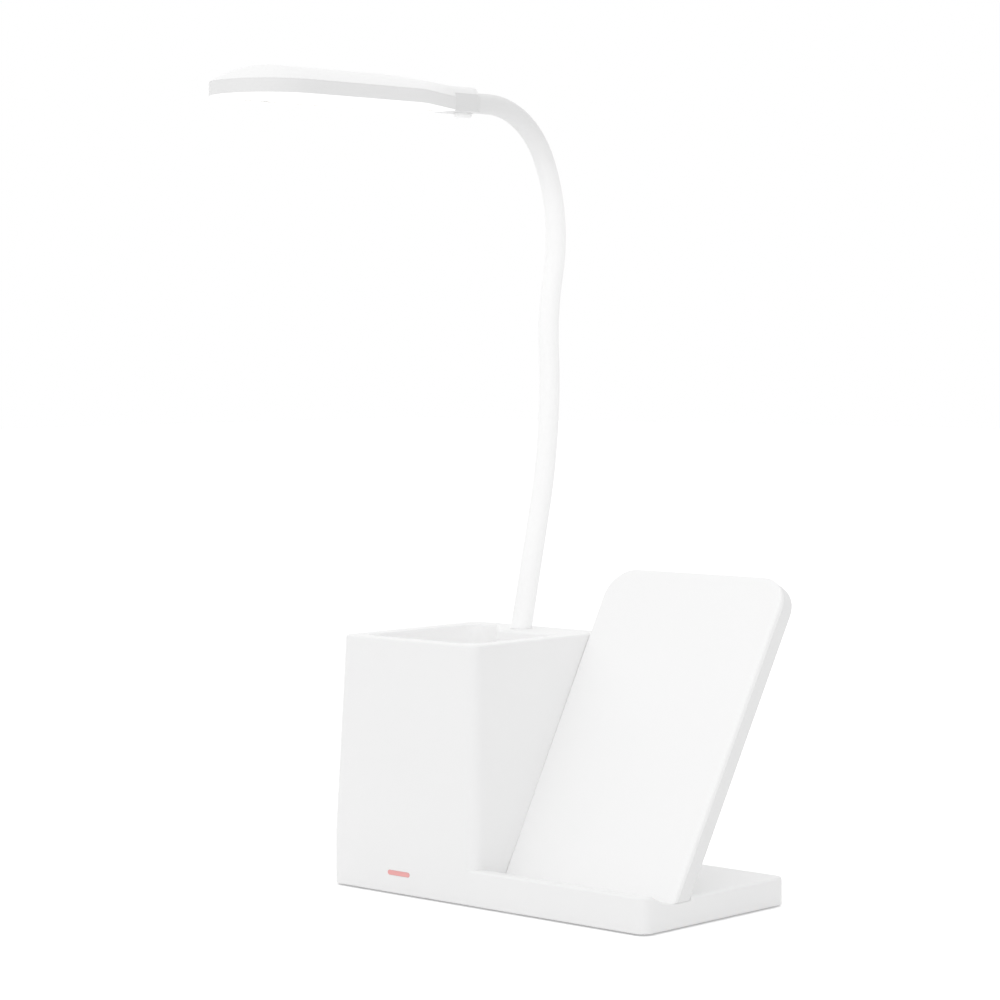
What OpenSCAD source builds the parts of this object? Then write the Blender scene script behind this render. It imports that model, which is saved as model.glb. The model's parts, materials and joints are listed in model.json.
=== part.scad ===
// Desk lamp on a wide base: an open pen cup at the left, a leaning phone charging plate
// at the right, and a flexible neck behind the cup that carries a slim light head.
// Millimetres. The origin is the centre of the footprint on the desk top.
// +X points right, +Y points back, +Z points up.

/* [Base] */
// Width of the base, left to right
base_w = 178; // [172:1:200]
// Depth of the base, front to back
base_d = 92; // [88:1:110]
// Height of the base's flat top above the desk
base_top_h = 12.3; // [12.2:0.1:15]
// Height of the front lip above the desk
lip_h = 15.6; // [14:0.1:19]
// Depth of the lip's flat top
lip_d = 5; // [3:0.5:8]
// Depth from the front face to the foot of the lip's rear slope
lip_foot_d = 11.5; // [9:0.5:13]
// Height of the ledge at the foot of that slope
ledge_front_h = 12.4; // [12:0.1:13]
// Height of the ledge at the plate, which it falls to and the plate stands on
ledge_h = 11; // [10.6:0.1:11.8]
// Wall thickness of the housing
shell_t = 2.4; // [1.8:0.1:2.6]
// Radius of the upright corners
corner_r = 5; // [3:0.5:8]
// Thickness of the non-slip pad
pad_t = 0.8; // [0.5:0.1:1.2]
// Distance from the edge of the base to the non-slip pad
pad_inset = 4; // [3:0.5:8]
// Thickness of the bottom cover
cover_t = 2.6; // [2.2:0.1:3]
// Gap around the bottom cover
cover_gap = 0.2; // [0.1:0.05:0.4]

/* [Pen cup] */
// Width of the cup tower at its foot
tower_w = 85.5; // [82:0.5:90]
// Height of the tower's rim above the desk
tower_h = 109; // [95:1:130]
// Draft of the tower's four faces, in degrees
tower_draft = 2.1; // [1:0.1:2.4]
// Width of the rim around the well
rim_w = 7; // [6:0.5:8]
// Width of the housing edge that shows outside the liner's rim
rim_edge_w = 1.4; // [1:0.1:1.6]
// Thickness of the liner's rim
rim_t = 2.6; // [2:0.1:3.5]
// Gap around the liner's rim
rim_gap = 0.15; // [0.1:0.05:0.3]
// Radius of the well's upright corners
well_r = 7; // [4:0.5:10]
// Wall thickness of the well
well_t = 2; // [1.5:0.1:2.5]
// Height of the well's floor above the desk
well_floor_h = 22; // [20:1:40]
// Depth of the neck's corner block, from the well's rear wall forwards
block_d = 17.5; // [16:0.5:20]
// Distance from the neck's axis to the block's slanted left face
block_slant = 10.6; // [10.5:0.1:13]
// Radius of the corner between the block's front and its slanted face
block_r = 6; // [4:0.5:8]

/* [Indicator] */
// Length of the indicator window
window_w = 13; // [8:0.2:16]
// Height of the indicator window
window_h = 2; // [1.6:0.1:4]
// Distance of the window's centre left of the cup's centre
window_left = 1.5; // [0:0.1:4]
// Height of the window's centre above the desk
window_z = 9.4; // [8.5:0.1:10.5]
// Gap around the window
window_gap = 0.1; // [0.05:0.05:0.2]

/* [Charging plate] */
// Lean of the plate back from upright, in degrees
plate_lean = 31; // [25:0.5:36]
// Length of the plate along its slope, from desk level
plate_len = 159.5; // [140:0.5:175]
// Thickness of the plate
plate_t = 8.9; // [8:0.1:9.4]
// Thickness of the plate's front cover
plate_front_t = 2; // [1.6:0.1:2.2]
// Wall thickness of the plate's rear tray
plate_wall = 1.8; // [1.4:0.1:2.2]
// Radius of the plate's upper corners
plate_r = 13.5; // [8:0.5:22]
// Depth from the front of the base to the plate's front face, at desk level
plate_setback = 11.6; // [11:0.1:13]
// Gap between the plate and the tower
plate_gap = 0.3; // [0.3:0.1:1]
// Outer radius of the charging coil
coil_r = 23; // [18:0.5:25]
// Inner radius of the charging coil
coil_bore_r = 10; // [8:0.5:14]
// Thickness of the charging coil
coil_t = 1.6; // [1:0.1:1.8]
// Distance of the coil's centre along the slope, from desk level
coil_s = 92; // [80:1:105]

/* [Neck] */
// Radius of the neck's outer sleeve
neck_r = 4.9; // [4.4:0.1:5.4]
// Radius of the bore in the sleeve
sleeve_bore_r = 3.3; // [3:0.1:3.5]
// Wall thickness of the neck's spiral core
core_t = 1.3; // [1:0.1:1.5]
// Radial gap between the sleeve, the core and the lead
neck_fit = 0.1; // [0.05:0.05:0.2]
// Radial gap at each ball end
ball_gap = 0.3; // [0.25:0.05:0.5]
// Distance from the neck's axis to the rear face of the tower's rim
neck_rear = 11.8; // [11.5:0.1:13]
// Height of the lowest pivot above the rim
pivot_rise = 2.6; // [2.5:0.1:4]
// Lean of the neck at its foot, in degrees
foot_lean = 13.2; // [8:0.1:16]
// Length of the straight lower stretch
run_1 = 51.5; // [35:0.5:60]
// Length of the second stretch
run_2 = 70.5; // [60:0.5:90]
// Lean at the end of the second stretch, in degrees
lean_2 = -2.8; // [-6:0.1:-1]
// Length of the third stretch
run_3 = 34; // [20:1:45]
// Lean at the end of the third stretch, in degrees
lean_3 = 12.8; // [6:0.1:16]
// Length of the fourth stretch
run_4 = 52; // [40:1:70]
// Lean at the end of the fourth stretch, in degrees
lean_4 = -26.5; // [-32:0.5:-18]
// Length of the top bend
run_5 = 44.2; // [36:0.1:60]

/* [Light head] */
// Length of the head's shell, from the collar to the tip
head_len = 125.5; // [110:0.5:150]
// Width of the head
head_w = 48; // [44:0.5:54]
// Width of the collar and of the head's narrow end
collar_w = 14; // [13:0.5:16]
// Length of the collar
collar_len = 18.5; // [17:0.5:22]
// Distance from the top pivot to the collar
collar_reach = 9; // [7:0.5:20]
// Distance from the collar to the widest part of the head
flare_len = 41; // [36:0.5:50]
// Height of the bezel
bezel_h = 5.9; // [5.4:0.1:7]
// Depth of the bezel's underside below the top pivot
bezel_drop = 4.5; // [4.1:0.1:4.8]
// Wall thickness of the bezel
bezel_t = 2; // [1.6:0.1:2.4]
// Rise of the domed top shell above the bezel
dome_rise = 7.1; // [5.8:0.1:8]
// Wall thickness of the domed top shell
dome_t = 1.6; // [1.2:0.1:2]
// Thickness of the diffuser
diffuser_t = 1.8; // [1.4:0.1:2]
// Gap around the diffuser
diffuser_gap = 0.15; // [0.1:0.05:0.3]
// Number of light chips along the head
led_count = 9; // [5:1:11]

/* [Dimmer button] */
// Length of the button
button_len = 8.4; // [7:0.1:9]
// Width of the button
button_w = 6; // [5:0.1:7]
// Height of the button below the collar
button_proud = 2.2; // [1.6:0.1:3]
// Travel of the button
button_travel = 0.8; // [0.5:0.1:0.9]
// Gap around the button
button_gap = 0.3; // [0.2:0.05:0.4]

/* [Hidden] */

// Fineness of true curves, and of the rounded corners of lofted shells
$fn = 64;
LOFT_FN = 32;
// Thickness of the thin layers that a loft is drawn between
LAYER = 0.01;
// Overlength of cutting shapes, so that no cut ends on a face
CUT = 1;

// ---- base ----
half_w = base_w / 2;
half_d = base_d / 2;
cover_top = pad_t + cover_t;
ledge_under = ledge_h - shell_t;
base_under = base_top_h - shell_t;
tower_x = -half_w + tower_w / 2;
tower_right = -half_w + tower_w;
tower_inset = (tower_h - base_top_h) * tan(tower_draft);
rim_outer_w = tower_w - 2 * tower_inset;
rim_outer_d = base_d - 2 * tower_inset;

// ---- well ----
well_w = rim_outer_w - 2 * rim_w;
well_d = rim_outer_d - 2 * rim_w;
well_rear = well_d / 2;
rim_seat_z = tower_h - rim_t;

// ---- neck foot ----
neck_x = tower_x;
neck_y = rim_outer_d / 2 - neck_rear;
ferrule_r = 6.5;
ferrule_top_r = 5.9;
// Radial play of the ferrule in its boss
ferrule_play = 0.08;
boss_r = ferrule_r + ferrule_play + 2.2;
boss_len = 18;
boss_z = rim_seat_z - boss_len;
nut_h = 4;
nut_r = 8.4;
ferrule_thread = nut_h + 1;
ferrule_bore_r = 2.6;

// ---- fasteners ----
screw_hole_r = 1.7;
screw_pilot_r = 1.45;
screw_head_r = 2.7;
screw_head_h = 1.4;
screw_boss_r = 3.4;
// Depth of thread that each screw takes in its boss
screw_bite = 4.5;
small_screw_r = 1;
small_pilot_r = 0.95;
small_head_r = 1.9;
small_head_h = 1;
small_boss_r = 2.4;
head_gap = 0.2;

// Places of the six screws of the bottom cover
cover_screw_x = half_w - shell_t - screw_boss_r - 0.5;
cover_screw_y = half_d - shell_t - screw_boss_r - 0.5;
cover_screw_at = [
    for (x = [-cover_screw_x, tower_right + 2, cover_screw_x], y = [-1, 1])
        [x, y * cover_screw_y],
];

// ---- ballast, below the cup ----
ballast_side = 11;
ballast_end = 15;
ballast_w = tower_w - 2 * ballast_side;
ballast_d = base_d - 2 * ballast_end;
ballast_t = 8;
ballast_y = 2;
ballast_screw_dx = ballast_w / 2 - 10;
well_under = well_floor_h - well_t;

// ---- boards ----
board_t = 1.2;
board_stand = 1;
board_w = 56;
board_d = 38;
board_x = tower_right + 14 + board_w / 2;
board_y = half_d - shell_t - 1.6 - board_d / 2;
board_top = cover_top + board_stand + board_t;
board_room = base_under - board_top - 0.3;
chip_w = 7.5;
chip_h = 1.2;
small_chip_w = 5;
inductor_w = 7;
inductor_h = 3;
can_r = 2.4;
can_h = 3.6;
can_pitch = 7;
inlet_w = 9;
inlet_h = 3.3;
inlet_len = 7.4;
inlet_x = board_x - 12;
inlet_wall = 0.35;
inlet_gap = 0.2;

// ---- indicator ----
window_x = tower_x - window_left;
window_flange = 1;
window_flange_t = 1;
// The flange stands clear of the wall, which draws in with the tower
window_seat = shell_t + 0.05 + (window_z + window_h / 2 + window_flange - base_under) * tan(tower_draft);
window_in_y = -half_d + window_seat;
led_t = 1.1;
indicator_board_t = 1;
indicator_board_h = window_z + window_h / 2 + 1.2 - cover_top;

// ---- plate: x across, s up the slope, n out of the front face ----
plate_y0 = -half_d + plate_setback;
plate_edge_lean = atan(tan(tower_draft) * cos(plate_lean));
plate_x0 = tower_right + plate_gap + base_top_h * tan(tower_draft);
plate_x1 = half_w;
plate_back_y = plate_y0 + plate_t / cos(plate_lean);
ledge_front_y = plate_y0 + ledge_h * tan(plate_lean) - 0.3;
ledge_back_y = plate_back_y + base_top_h * tan(plate_lean) + 0.3;
foot_screw_y = plate_y0 + ledge_h * tan(plate_lean) + plate_t / cos(plate_lean) - 2.4;
foot_block_s = ledge_h / cos(plate_lean) + 12;
tray_front = -plate_front_t;
tray_floor = -plate_t + plate_wall;
tray_depth = tray_front - tray_floor;
plate_mid = (plate_x0 + plate_x1) / 2;
ferrite_t = 0.8;
ferrite_w = 2 * coil_r + 2;
charger_board_w = 44;
charger_board_h = 30;
charger_board_s = foot_block_s + 2 + charger_board_h / 2;
foot_screw_dx = 28;
foot_screw_bite = 4.2;
lead_r = 1;
lead_elbow_r = 1.15;
lead_hole_r = 1.3;
lead_x = plate_mid + 12;
// Depth of the lead below the plate's front face
lead_n = -plate_t / 2 - 0.4;
// Height of the lead where it lies on the main board
lead_z = board_top + lead_r;
lead_start_s = (lead_z - lead_n * sin(plate_lean)) / cos(plate_lean);
plate_screw_low = foot_block_s + 6;
plate_screw_high = plate_len - 9;
plate_screw_edge = 8;

// ---- neck path: each run is [length, lean at its start, lean at its end] ----
foot_pivot_z = tower_h + pivot_rise;
HEAD_LEAN = -90;
neck_runs = [
    [run_1, foot_lean, foot_lean],
    [run_2, foot_lean, lean_2],
    [run_3, lean_2, lean_3],
    [run_4, lean_3, lean_4],
    [run_5, lean_4, HEAD_LEAN],
];
cup_r = neck_r + ball_gap;
// The balls are a hair smaller than the stock that they end
BALL_STEP = 0.05;
ball_r = neck_r - BALL_STEP;
core_r = sleeve_bore_r - neck_fit;
core_bore_r = core_r - core_t;
neck_lead_r = core_bore_r - neck_fit;
// How far the core and the lead stop short of the next ball
core_short = cup_r + 0.6;

// How far one run goes, as [y, z]
function run_step(run) =
    run[1] == run[2]
    ? run[0] * [sin(run[1]), cos(run[1])]
    : run[0] * 180 / (PI * (run[2] - run[1]))
      * [cos(run[1]) - cos(run[2]), sin(run[2]) - sin(run[1])];
function pivot_at(i) =
    i == 0 ? [neck_y, foot_pivot_z] : pivot_at(i - 1) + run_step(neck_runs[i - 1]);
// A run cut short at its end by a length
function shorter(run, cut) =
    [run[0] - cut, run[1], run[2] - (run[2] - run[1]) * cut / run[0]];

// ---- head: drawn from the top pivot, with -Y towards the tip ----
collar_end = collar_reach + collar_len;
tip_end = collar_end + head_len;
head_r = head_w / 2;
wide_u = collar_end + flare_len;
tip_u = tip_end - head_r;
bezel_z = -bezel_drop;
bezel_top = bezel_z + bezel_h;
dome_top = bezel_top + dome_rise;
collar_z = bezel_z - 0.1;
collar_top = bezel_top + 1.7;
tail_top = collar_top + 3.2;
tail_chamfer = 1.2;
tail_gap = 0.1;
lip_t = 0.8;
diffuser_lip = 1.2;
diffuser_z = bezel_z + lip_t;
led_board_t = 1.2;
// Distances of the light board from the head's sides, its widest part and its tip
led_side = 11;
led_back = 8;
led_front = 16;
led_board_w = head_w - 2 * led_side;
led_board_u0 = wide_u - led_back;
led_board_u1 = tip_end - led_front;
led_size = 2.8;
led_h = 0.8;
led_board_z = diffuser_z + diffuser_t + led_h + 0.5;
led_board_top = led_board_z + led_board_t;
tongue_len = 9;
tongue_w = 7;
tongue_t = 2.4;
tongue_z = bezel_top - 0.4 - tongue_t;
collar_screw_u = collar_end + tongue_len - 4;
collar_boss_h = 4.4;
head_screw_back = 18;
head_screw_u = tip_u - head_screw_back;
head_screw_dx = head_r - bezel_t - small_boss_r + 0.4;
board_screw_end = 5;
board_screw_u = [led_board_u0 + board_screw_end, led_board_u1 - board_screw_end];

// ---- button: it moves up into the collar ----
button_u = collar_reach + collar_w / 2;
button_lip = 1.2;
button_flange = 0.7;
button_flange_t = 1;
pocket_gap = 0.25;
switch_h = 2.4;
button_in_z = collar_z + button_lip;
switch_z = button_in_z + button_flange_t + button_travel + 0.1;

// ---------------------------------------------------------------- shapes

// Rectangle with true round corners, centred
module round_rect(w, d, r) {
    square([w - 2 * r, d], center = true);
    square([w, d - 2 * r], center = true);
    for (x = [-1, 1], y = [-1, 1])
        translate([x * (w / 2 - r), y * (d / 2 - r)]) circle(r);
}

module slab(w, d, h, r) {
    linear_extrude(h) round_rect(w, d, r);
}

// Loft between a slab at z0 and a smaller or larger one at z1
module taper(size0, size1, r0, r1, z0, z1) {
    hull() {
        translate([0, 0, z0]) slab(size0[0], size0[1], LAYER, r0, $fn = LOFT_FN);
        translate([0, 0, z1 - LAYER]) slab(size1[0], size1[1], LAYER, r1, $fn = LOFT_FN);
    }
}

// Points of an arc about a centre, between two angles
function arc(c, r, from, to) =
    let (n = ceil($fn * abs(to - from) / 360))
    [for (i = [0 : n]) c + r * [cos(from + (to - from) * i / n), sin(from + (to - from) * i / n)]];

// Stadium along X, centred
module pill(length, height) {
    square([length - height, height], center = true);
    for (x = [-1, 1]) translate([x * (length - height) / 2, 0]) circle(height / 2);
}

// Screw with a flat head, standing on z = 0 with its shank up
module screw(r, head_r, head_h, length) {
    cylinder(r = head_r, h = head_h);
    cylinder(r = r, h = head_h + length);
}

// Everything that follows is drawn with x across, y up the slope and z out of the front
module on_plate() {
    translate([0, plate_y0, 0]) rotate([90 - plate_lean, 0, 0]) children();
}

module at_head() {
    top = pivot_at(len(neck_runs));
    translate([neck_x, top[0], top[1]]) children();
}

// ---------------------------------------------------------------- base and cup

// Outline of the base seen from above, drawn in by a distance
module base_plan(inset) {
    round_rect(base_w - 2 * inset, base_d - 2 * inset, max(corner_r - inset, 1));
}

// Side view of the base right of the tower: lip, ledge and flat top
module base_profile() {
    polygon([
        [-half_d, 0], [-half_d, lip_h], [-half_d + lip_d, lip_h],
        [-half_d + lip_foot_d, ledge_front_h], [ledge_front_y, ledge_h], [ledge_back_y, ledge_h],
        [ledge_back_y, base_top_h], [half_d, base_top_h], [half_d, 0],
    ]);
}

module base_solid() {
    intersection() {
        translate([0, 0, pad_t]) linear_extrude(lip_h) base_plan(0);
        translate([-half_w, 0, 0]) rotate([90, 0, 90])
            linear_extrude(base_w) base_profile();
    }
    translate([tower_x, 0, pad_t]) slab(tower_w, base_d, base_top_h - pad_t, corner_r);
}

// Space inside the base, which stays one wall below the ledge and the top
module base_cavity() {
    intersection() {
        translate([0, 0, pad_t - CUT]) linear_extrude(lip_h) base_plan(shell_t);
        union() {
            translate([-half_w, -half_d, pad_t - CUT])
                cube([base_w, base_d, ledge_under - pad_t + CUT]);
            translate([-half_w, ledge_back_y + shell_t, pad_t - CUT])
                cube([base_w, base_d, base_under - pad_t + CUT]);
            translate([-half_w, -half_d, pad_t - CUT])
                cube([tower_w - shell_t, base_d, base_under - pad_t + CUT]);
        }
    }
}

module tower_solid() {
    translate([tower_x, 0, 0])
        taper([tower_w, base_d], [rim_outer_w, rim_outer_d],
              corner_r, corner_r, base_top_h - LAYER, tower_h);
}

module tower_cavity() {
    in_r = max(corner_r - shell_t, 1);
    in_0 = [tower_w - 2 * shell_t, base_d - 2 * shell_t];
    in_1 = [rim_outer_w - 2 * shell_t, rim_outer_d - 2 * shell_t];
    translate([tower_x, 0, 0]) {
        taper(in_0, in_1, in_r, in_r, base_under - LAYER, tower_h + LAYER);
        translate([0, 0, rim_seat_z])
            slab(rim_outer_w - 2 * rim_edge_w, rim_outer_d - 2 * rim_edge_w,
                 rim_t + CUT, corner_r - rim_edge_w);
    }
}

// Screw boss with a web to the wall in front of it or behind it
module wall_boss(side) {
    circle(screw_boss_r);
    translate([-screw_boss_r, side > 0 ? 0 : -screw_boss_r - shell_t / 2])
        square([2 * screw_boss_r, screw_boss_r + shell_t / 2]);
}

module body_shell() {
    color("white") difference() {
        union() {
            difference() {
                union() {
                    base_solid();
                    tower_solid();
                }
                base_cavity();
                tower_cavity();
            }
            for (p = cover_screw_at) translate([p[0], p[1], cover_top])
                linear_extrude(ledge_under - cover_top + 0.5) wall_boss(sign(p[1]));
        }
        for (p = cover_screw_at) translate([p[0], p[1], cover_top - CUT])
            cylinder(r = screw_pilot_r, h = screw_bite + CUT);
        translate([window_x, -half_d - CUT, window_z]) rotate([-90, 0, 0])
            linear_extrude(shell_t + 2 * CUT)
                pill(window_w + 2 * window_gap, window_h + 2 * window_gap);
        translate([inlet_x, half_d - shell_t - CUT, board_top + inlet_h / 2])
            rotate([-90, 0, 0]) linear_extrude(shell_t + 2 * CUT)
                pill(inlet_w + 2 * inlet_gap, inlet_h + 2 * inlet_gap);
        for (x = [-1, 1]) translate([plate_mid + x * foot_screw_dx, foot_screw_y, 0])
            cylinder(r = screw_hole_r, h = ledge_h + CUT);
        lead_way(lead_hole_r, lead_start_s, foot_block_s);
    }
}

// The well seen from above, grown by a distance: a round-cornered
// rectangle less the corner block that holds the neck
module well_plan(grow) {
    reach = 2 * tower_w;
    front = neck_y - (well_rear - block_d);
    r = block_r - grow;
    corner = [front - block_r - sqrt(2) * (block_slant - block_r), block_r - front];
    difference() {
        round_rect(well_w + 2 * grow, well_d + 2 * grow, well_r + grow);
        translate([neck_x - tower_x, neck_y]) polygon([
            corner - r / sqrt(2) * [1, 1] + reach * [-1, 1], each arc(corner, r, 225, 270),
            [reach, grow - front], [reach, reach],
        ]);
    }
}

module cup_liner() {
    color("white") difference() {
        union() {
            translate([tower_x, 0, rim_seat_z])
                slab(rim_outer_w - 2 * (rim_edge_w + rim_gap),
                     rim_outer_d - 2 * (rim_edge_w + rim_gap),
                     rim_t, corner_r - rim_edge_w - rim_gap);
            translate([tower_x, 0, well_under])
                linear_extrude(rim_seat_z - well_under) well_plan(well_t);
            translate([neck_x, neck_y, boss_z]) cylinder(r = boss_r, h = boss_len);
            for (x = [-1, 1])
                translate([tower_x + x * ballast_screw_dx, ballast_y, cover_top + ballast_t])
                    cylinder(r = screw_boss_r, h = well_under - cover_top - ballast_t);
        }
        translate([tower_x, 0, well_floor_h])
            linear_extrude(tower_h - well_floor_h + CUT) well_plan(0);
        translate([neck_x, neck_y, boss_z - CUT])
            cylinder(r = ferrule_r + ferrule_play, h = boss_len + CUT);
        translate([neck_x, neck_y, boss_z])
            cylinder(r = ferrule_top_r + ferrule_play, h = boss_len + rim_t + CUT);
        for (x = [-1, 1])
            translate([tower_x + x * ballast_screw_dx, ballast_y, cover_top + ballast_t - CUT])
                cylinder(r = screw_pilot_r, h = screw_bite + 2 * CUT);
    }
}

module bottom_cover() {
    inset = shell_t + cover_gap;
    color("gainsboro") difference() {
        union() {
            translate([0, 0, pad_t]) linear_extrude(cover_t) base_plan(inset);
            for (x = [-1, 1], y = [-1, 1])
                translate([board_x + x * (board_w / 2 - 4), board_y + y * (board_d / 2 - 4), pad_t])
                    cylinder(r = small_boss_r, h = cover_t + board_stand);
        }
        for (p = cover_screw_at) translate([p[0], p[1], pad_t - CUT]) {
            cylinder(r = screw_hole_r, h = cover_t + 2 * CUT);
            cylinder(r = screw_head_r + head_gap, h = screw_head_h + CUT);
        }
        for (x = [-1, 1])
            translate([tower_x + x * ballast_screw_dx, ballast_y, pad_t - CUT]) {
                cylinder(r = screw_hole_r, h = cover_t + 2 * CUT);
                cylinder(r = screw_head_r + head_gap, h = screw_head_h + CUT);
            }
    }
}

module non_slip_pad() {
    color("dimgray") linear_extrude(pad_t) base_plan(pad_inset);
}

module ballast_plate() {
    color("slategray") difference() {
        translate([tower_x, ballast_y, cover_top]) slab(ballast_w, ballast_d, ballast_t, 3);
        for (x = [-1, 1])
            translate([tower_x + x * ballast_screw_dx, ballast_y, cover_top - CUT])
                cylinder(r = screw_hole_r, h = ballast_t + 2 * CUT);
    }
}

module cover_screws() {
    color("silver") for (p = cover_screw_at) translate([p[0], p[1], pad_t])
        screw(screw_pilot_r - 0.05, screw_head_r, screw_head_h,
              cover_t - screw_head_h + screw_bite - 0.5);
}

module ballast_screws() {
    color("silver") for (x = [-1, 1])
        translate([tower_x + x * ballast_screw_dx, ballast_y, pad_t])
            screw(screw_pilot_r - 0.05, screw_head_r, screw_head_h,
                  cover_t - screw_head_h + ballast_t + screw_bite);
}

// ---------------------------------------------------------------- electronics in the base

module main_board() {
    color("seagreen")
        translate([board_x, board_y, board_top - board_t]) slab(board_w, board_d, board_t, 2);
}

// Chips, a coil and capacitors that stand on the board
module board_parts() {
    color("black") {
        translate([board_x - chip_w, board_y - chip_w, board_top]) cube([chip_w, chip_w, chip_h]);
        translate([board_x + chip_w, board_y - chip_w / 2, board_top])
            cube([small_chip_w, chip_w, chip_h]);
        translate([board_x - board_w / 2 + chip_w, board_y - chip_w / 2, board_top])
            cube([inductor_w, inductor_w, min(board_room, inductor_h)]);
        for (x = [0 : 2])
            translate([board_x + chip_w + can_pitch * x, board_y + board_d / 2 - can_pitch, board_top])
                cylinder(r = can_r, h = min(board_room, can_h));
    }
}

// Oblong metal socket with its contact tongue, open to the rear
module power_inlet() {
    shell_y = half_d - 0.6 - inlet_len;
    color("silver") translate([inlet_x, shell_y, board_top + inlet_h / 2])
        rotate([-90, 0, 0]) {
            difference() {
                linear_extrude(inlet_len) pill(inlet_w, inlet_h);
                translate([0, 0, 1]) linear_extrude(inlet_len)
                    pill(inlet_w - 2 * inlet_wall, inlet_h - 2 * inlet_wall);
            }
            linear_extrude(inlet_len - 1.5) square([inlet_w - 2.6, 0.7], center = true);
        }
}

module indicator_window() {
    color([0.93, 0.52, 0.44]) translate([window_x, -half_d, window_z]) rotate([-90, 0, 0]) {
        linear_extrude(window_seat) pill(window_w, window_h);
        translate([0, 0, window_seat]) linear_extrude(window_flange_t)
            pill(window_w + 2 * window_flange, window_h + 2 * window_flange);
    }
}

module indicator_led() {
    color("ivory") for (x = [-3, 0, 3])
        translate([window_x + x - 0.8, window_in_y + window_flange_t, window_z - 0.6])
            cube([1.6, led_t, 1.2]);
}

module indicator_board() {
    color("seagreen")
        translate([window_x - 8, window_in_y + window_flange_t + led_t, cover_top])
            cube([16, indicator_board_t, indicator_board_h]);
}

// ---------------------------------------------------------------- charging plate

// Outline of the plate on its slope, drawn in by a distance. Its left edge
// follows the drafted side of the tower.
module plate_plan(inset) {
    r = max(plate_r - inset, 1);
    side = [cos(plate_edge_lean), sin(plate_edge_lean)];
    up = [-sin(plate_edge_lean), cos(plate_edge_lean)];
    start = [plate_x0, 0] + inset * side;
    top = plate_len - inset;
    left_c = start + r * side + up * (top - r - (start + r * side)[1]) / up[1];
    right_c = [plate_x1 - inset - r, top - r];
    polygon([
        start, each arc(left_c, r, 180 + plate_edge_lean, 90), each arc(right_c, r, 90, 0),
        [plate_x1 - inset, 0],
    ]);
}

// Keeps what stands above the ledge floor
module above_ledge() {
    intersection() {
        children();
        translate([-half_w, -base_d, ledge_h]) cube([base_w, 4 * base_d, plate_len]);
    }
}

module plate_screw_places() {
    x1 = plate_x1 - plate_screw_edge;
    for (s = [plate_screw_low, plate_screw_high]) {
        x0 = plate_x0 + plate_screw_edge - s * tan(plate_edge_lean);
        for (x = [x0 + (s > coil_s ? 4 : 0), x1 - (s > coil_s ? 4 : 0)])
            translate([x, s]) children();
    }
}

module plate_front() {
    color("white") difference() {
        above_ledge() on_plate() {
            translate([0, 0, -plate_front_t]) linear_extrude(plate_front_t) plate_plan(0);
            plate_screw_places() translate([0, 0, tray_floor])
                cylinder(r = small_boss_r, h = tray_depth + LAYER);
        }
        on_plate() plate_screw_places() translate([0, 0, tray_floor - CUT])
            cylinder(r = small_pilot_r, h = tray_depth - 0.6 + CUT);
    }
}

module plate_tray() {
    color("white") difference() {
        above_ledge() on_plate() difference() {
            translate([0, 0, -plate_t]) linear_extrude(plate_t - plate_front_t) plate_plan(0);
            translate([0, 0, tray_floor]) linear_extrude(plate_t) intersection() {
                plate_plan(plate_wall);
                translate([-half_w, foot_block_s]) square([base_w, plate_len]);
            }
            plate_screw_places() translate([0, 0, -plate_t - CUT]) {
                cylinder(r = small_screw_r + 0.2, h = plate_wall + 2 * CUT);
                cylinder(r = small_head_r + head_gap, h = small_head_h + CUT);
            }
        }
        for (x = [-1, 1])
            translate([plate_mid + x * foot_screw_dx, foot_screw_y, ledge_h - CUT])
                cylinder(r = screw_pilot_r, h = foot_screw_bite + CUT);
        lead_way(lead_hole_r, lead_start_s, foot_block_s + CUT);
    }
}

module charging_coil() {
    color("peru") on_plate() translate([plate_mid, coil_s, tray_front - coil_t])
        difference() {
            cylinder(r = coil_r, h = coil_t);
            translate([0, 0, -CUT]) cylinder(r = coil_bore_r, h = coil_t + 2 * CUT);
        }
}

module ferrite_sheet() {
    color("darkslategray") on_plate()
        translate([plate_mid, coil_s, tray_front - coil_t - ferrite_t])
            slab(ferrite_w, ferrite_w, ferrite_t, 3);
}

module charger_board() {
    color("seagreen") on_plate()
        translate([plate_mid - 6, charger_board_s, tray_floor]) difference() {
            slab(charger_board_w, charger_board_h, board_t, 2);
            translate([lead_x - plate_mid + 6, -charger_board_h / 2, -CUT])
                cylinder(r = 3.2, h = board_t + 2 * CUT);
        }
}

// Straight way up inside the plate's foot, between two distances up the slope
module lead_way(r, s0, s1) {
    on_plate() translate([lead_x, s0, lead_n]) rotate([-90, 0, 0]) cylinder(r = r, h = s1 - s0);
}

// Lead that runs forward from the main board and then up into the plate
module charger_lead() {
    start_y = plate_y0 + lead_start_s * sin(plate_lean) - lead_n * cos(plate_lean);
    run = board_y - board_d / 2 + 6 - start_y;
    color("dimgray") {
        lead_way(lead_r, lead_start_s, foot_block_s);
        translate([lead_x, start_y, lead_z]) {
            sphere(lead_elbow_r);
            rotate([-90, 0, 0]) cylinder(r = lead_r, h = run);
        }
    }
}

module plate_screws() {
    color("silver") on_plate() plate_screw_places() translate([0, 0, -plate_t + 0.1])
        screw(small_pilot_r - 0.05, small_head_r, small_head_h - 0.1, tray_depth);
}

module foot_screws() {
    head_z = ledge_under - screw_head_h;
    color("silver") for (x = [-1, 1])
        translate([plate_mid + x * foot_screw_dx, foot_screw_y, head_z])
            screw(screw_pilot_r - 0.05, screw_head_r, screw_head_h,
                  shell_t + foot_screw_bite - 0.5);
}

// ---------------------------------------------------------------- neck

// Section of the neck's round stock
module ring(r, bore) {
    difference() {
        circle(r);
        if (bore > 0) circle(bore);
    }
}

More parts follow.
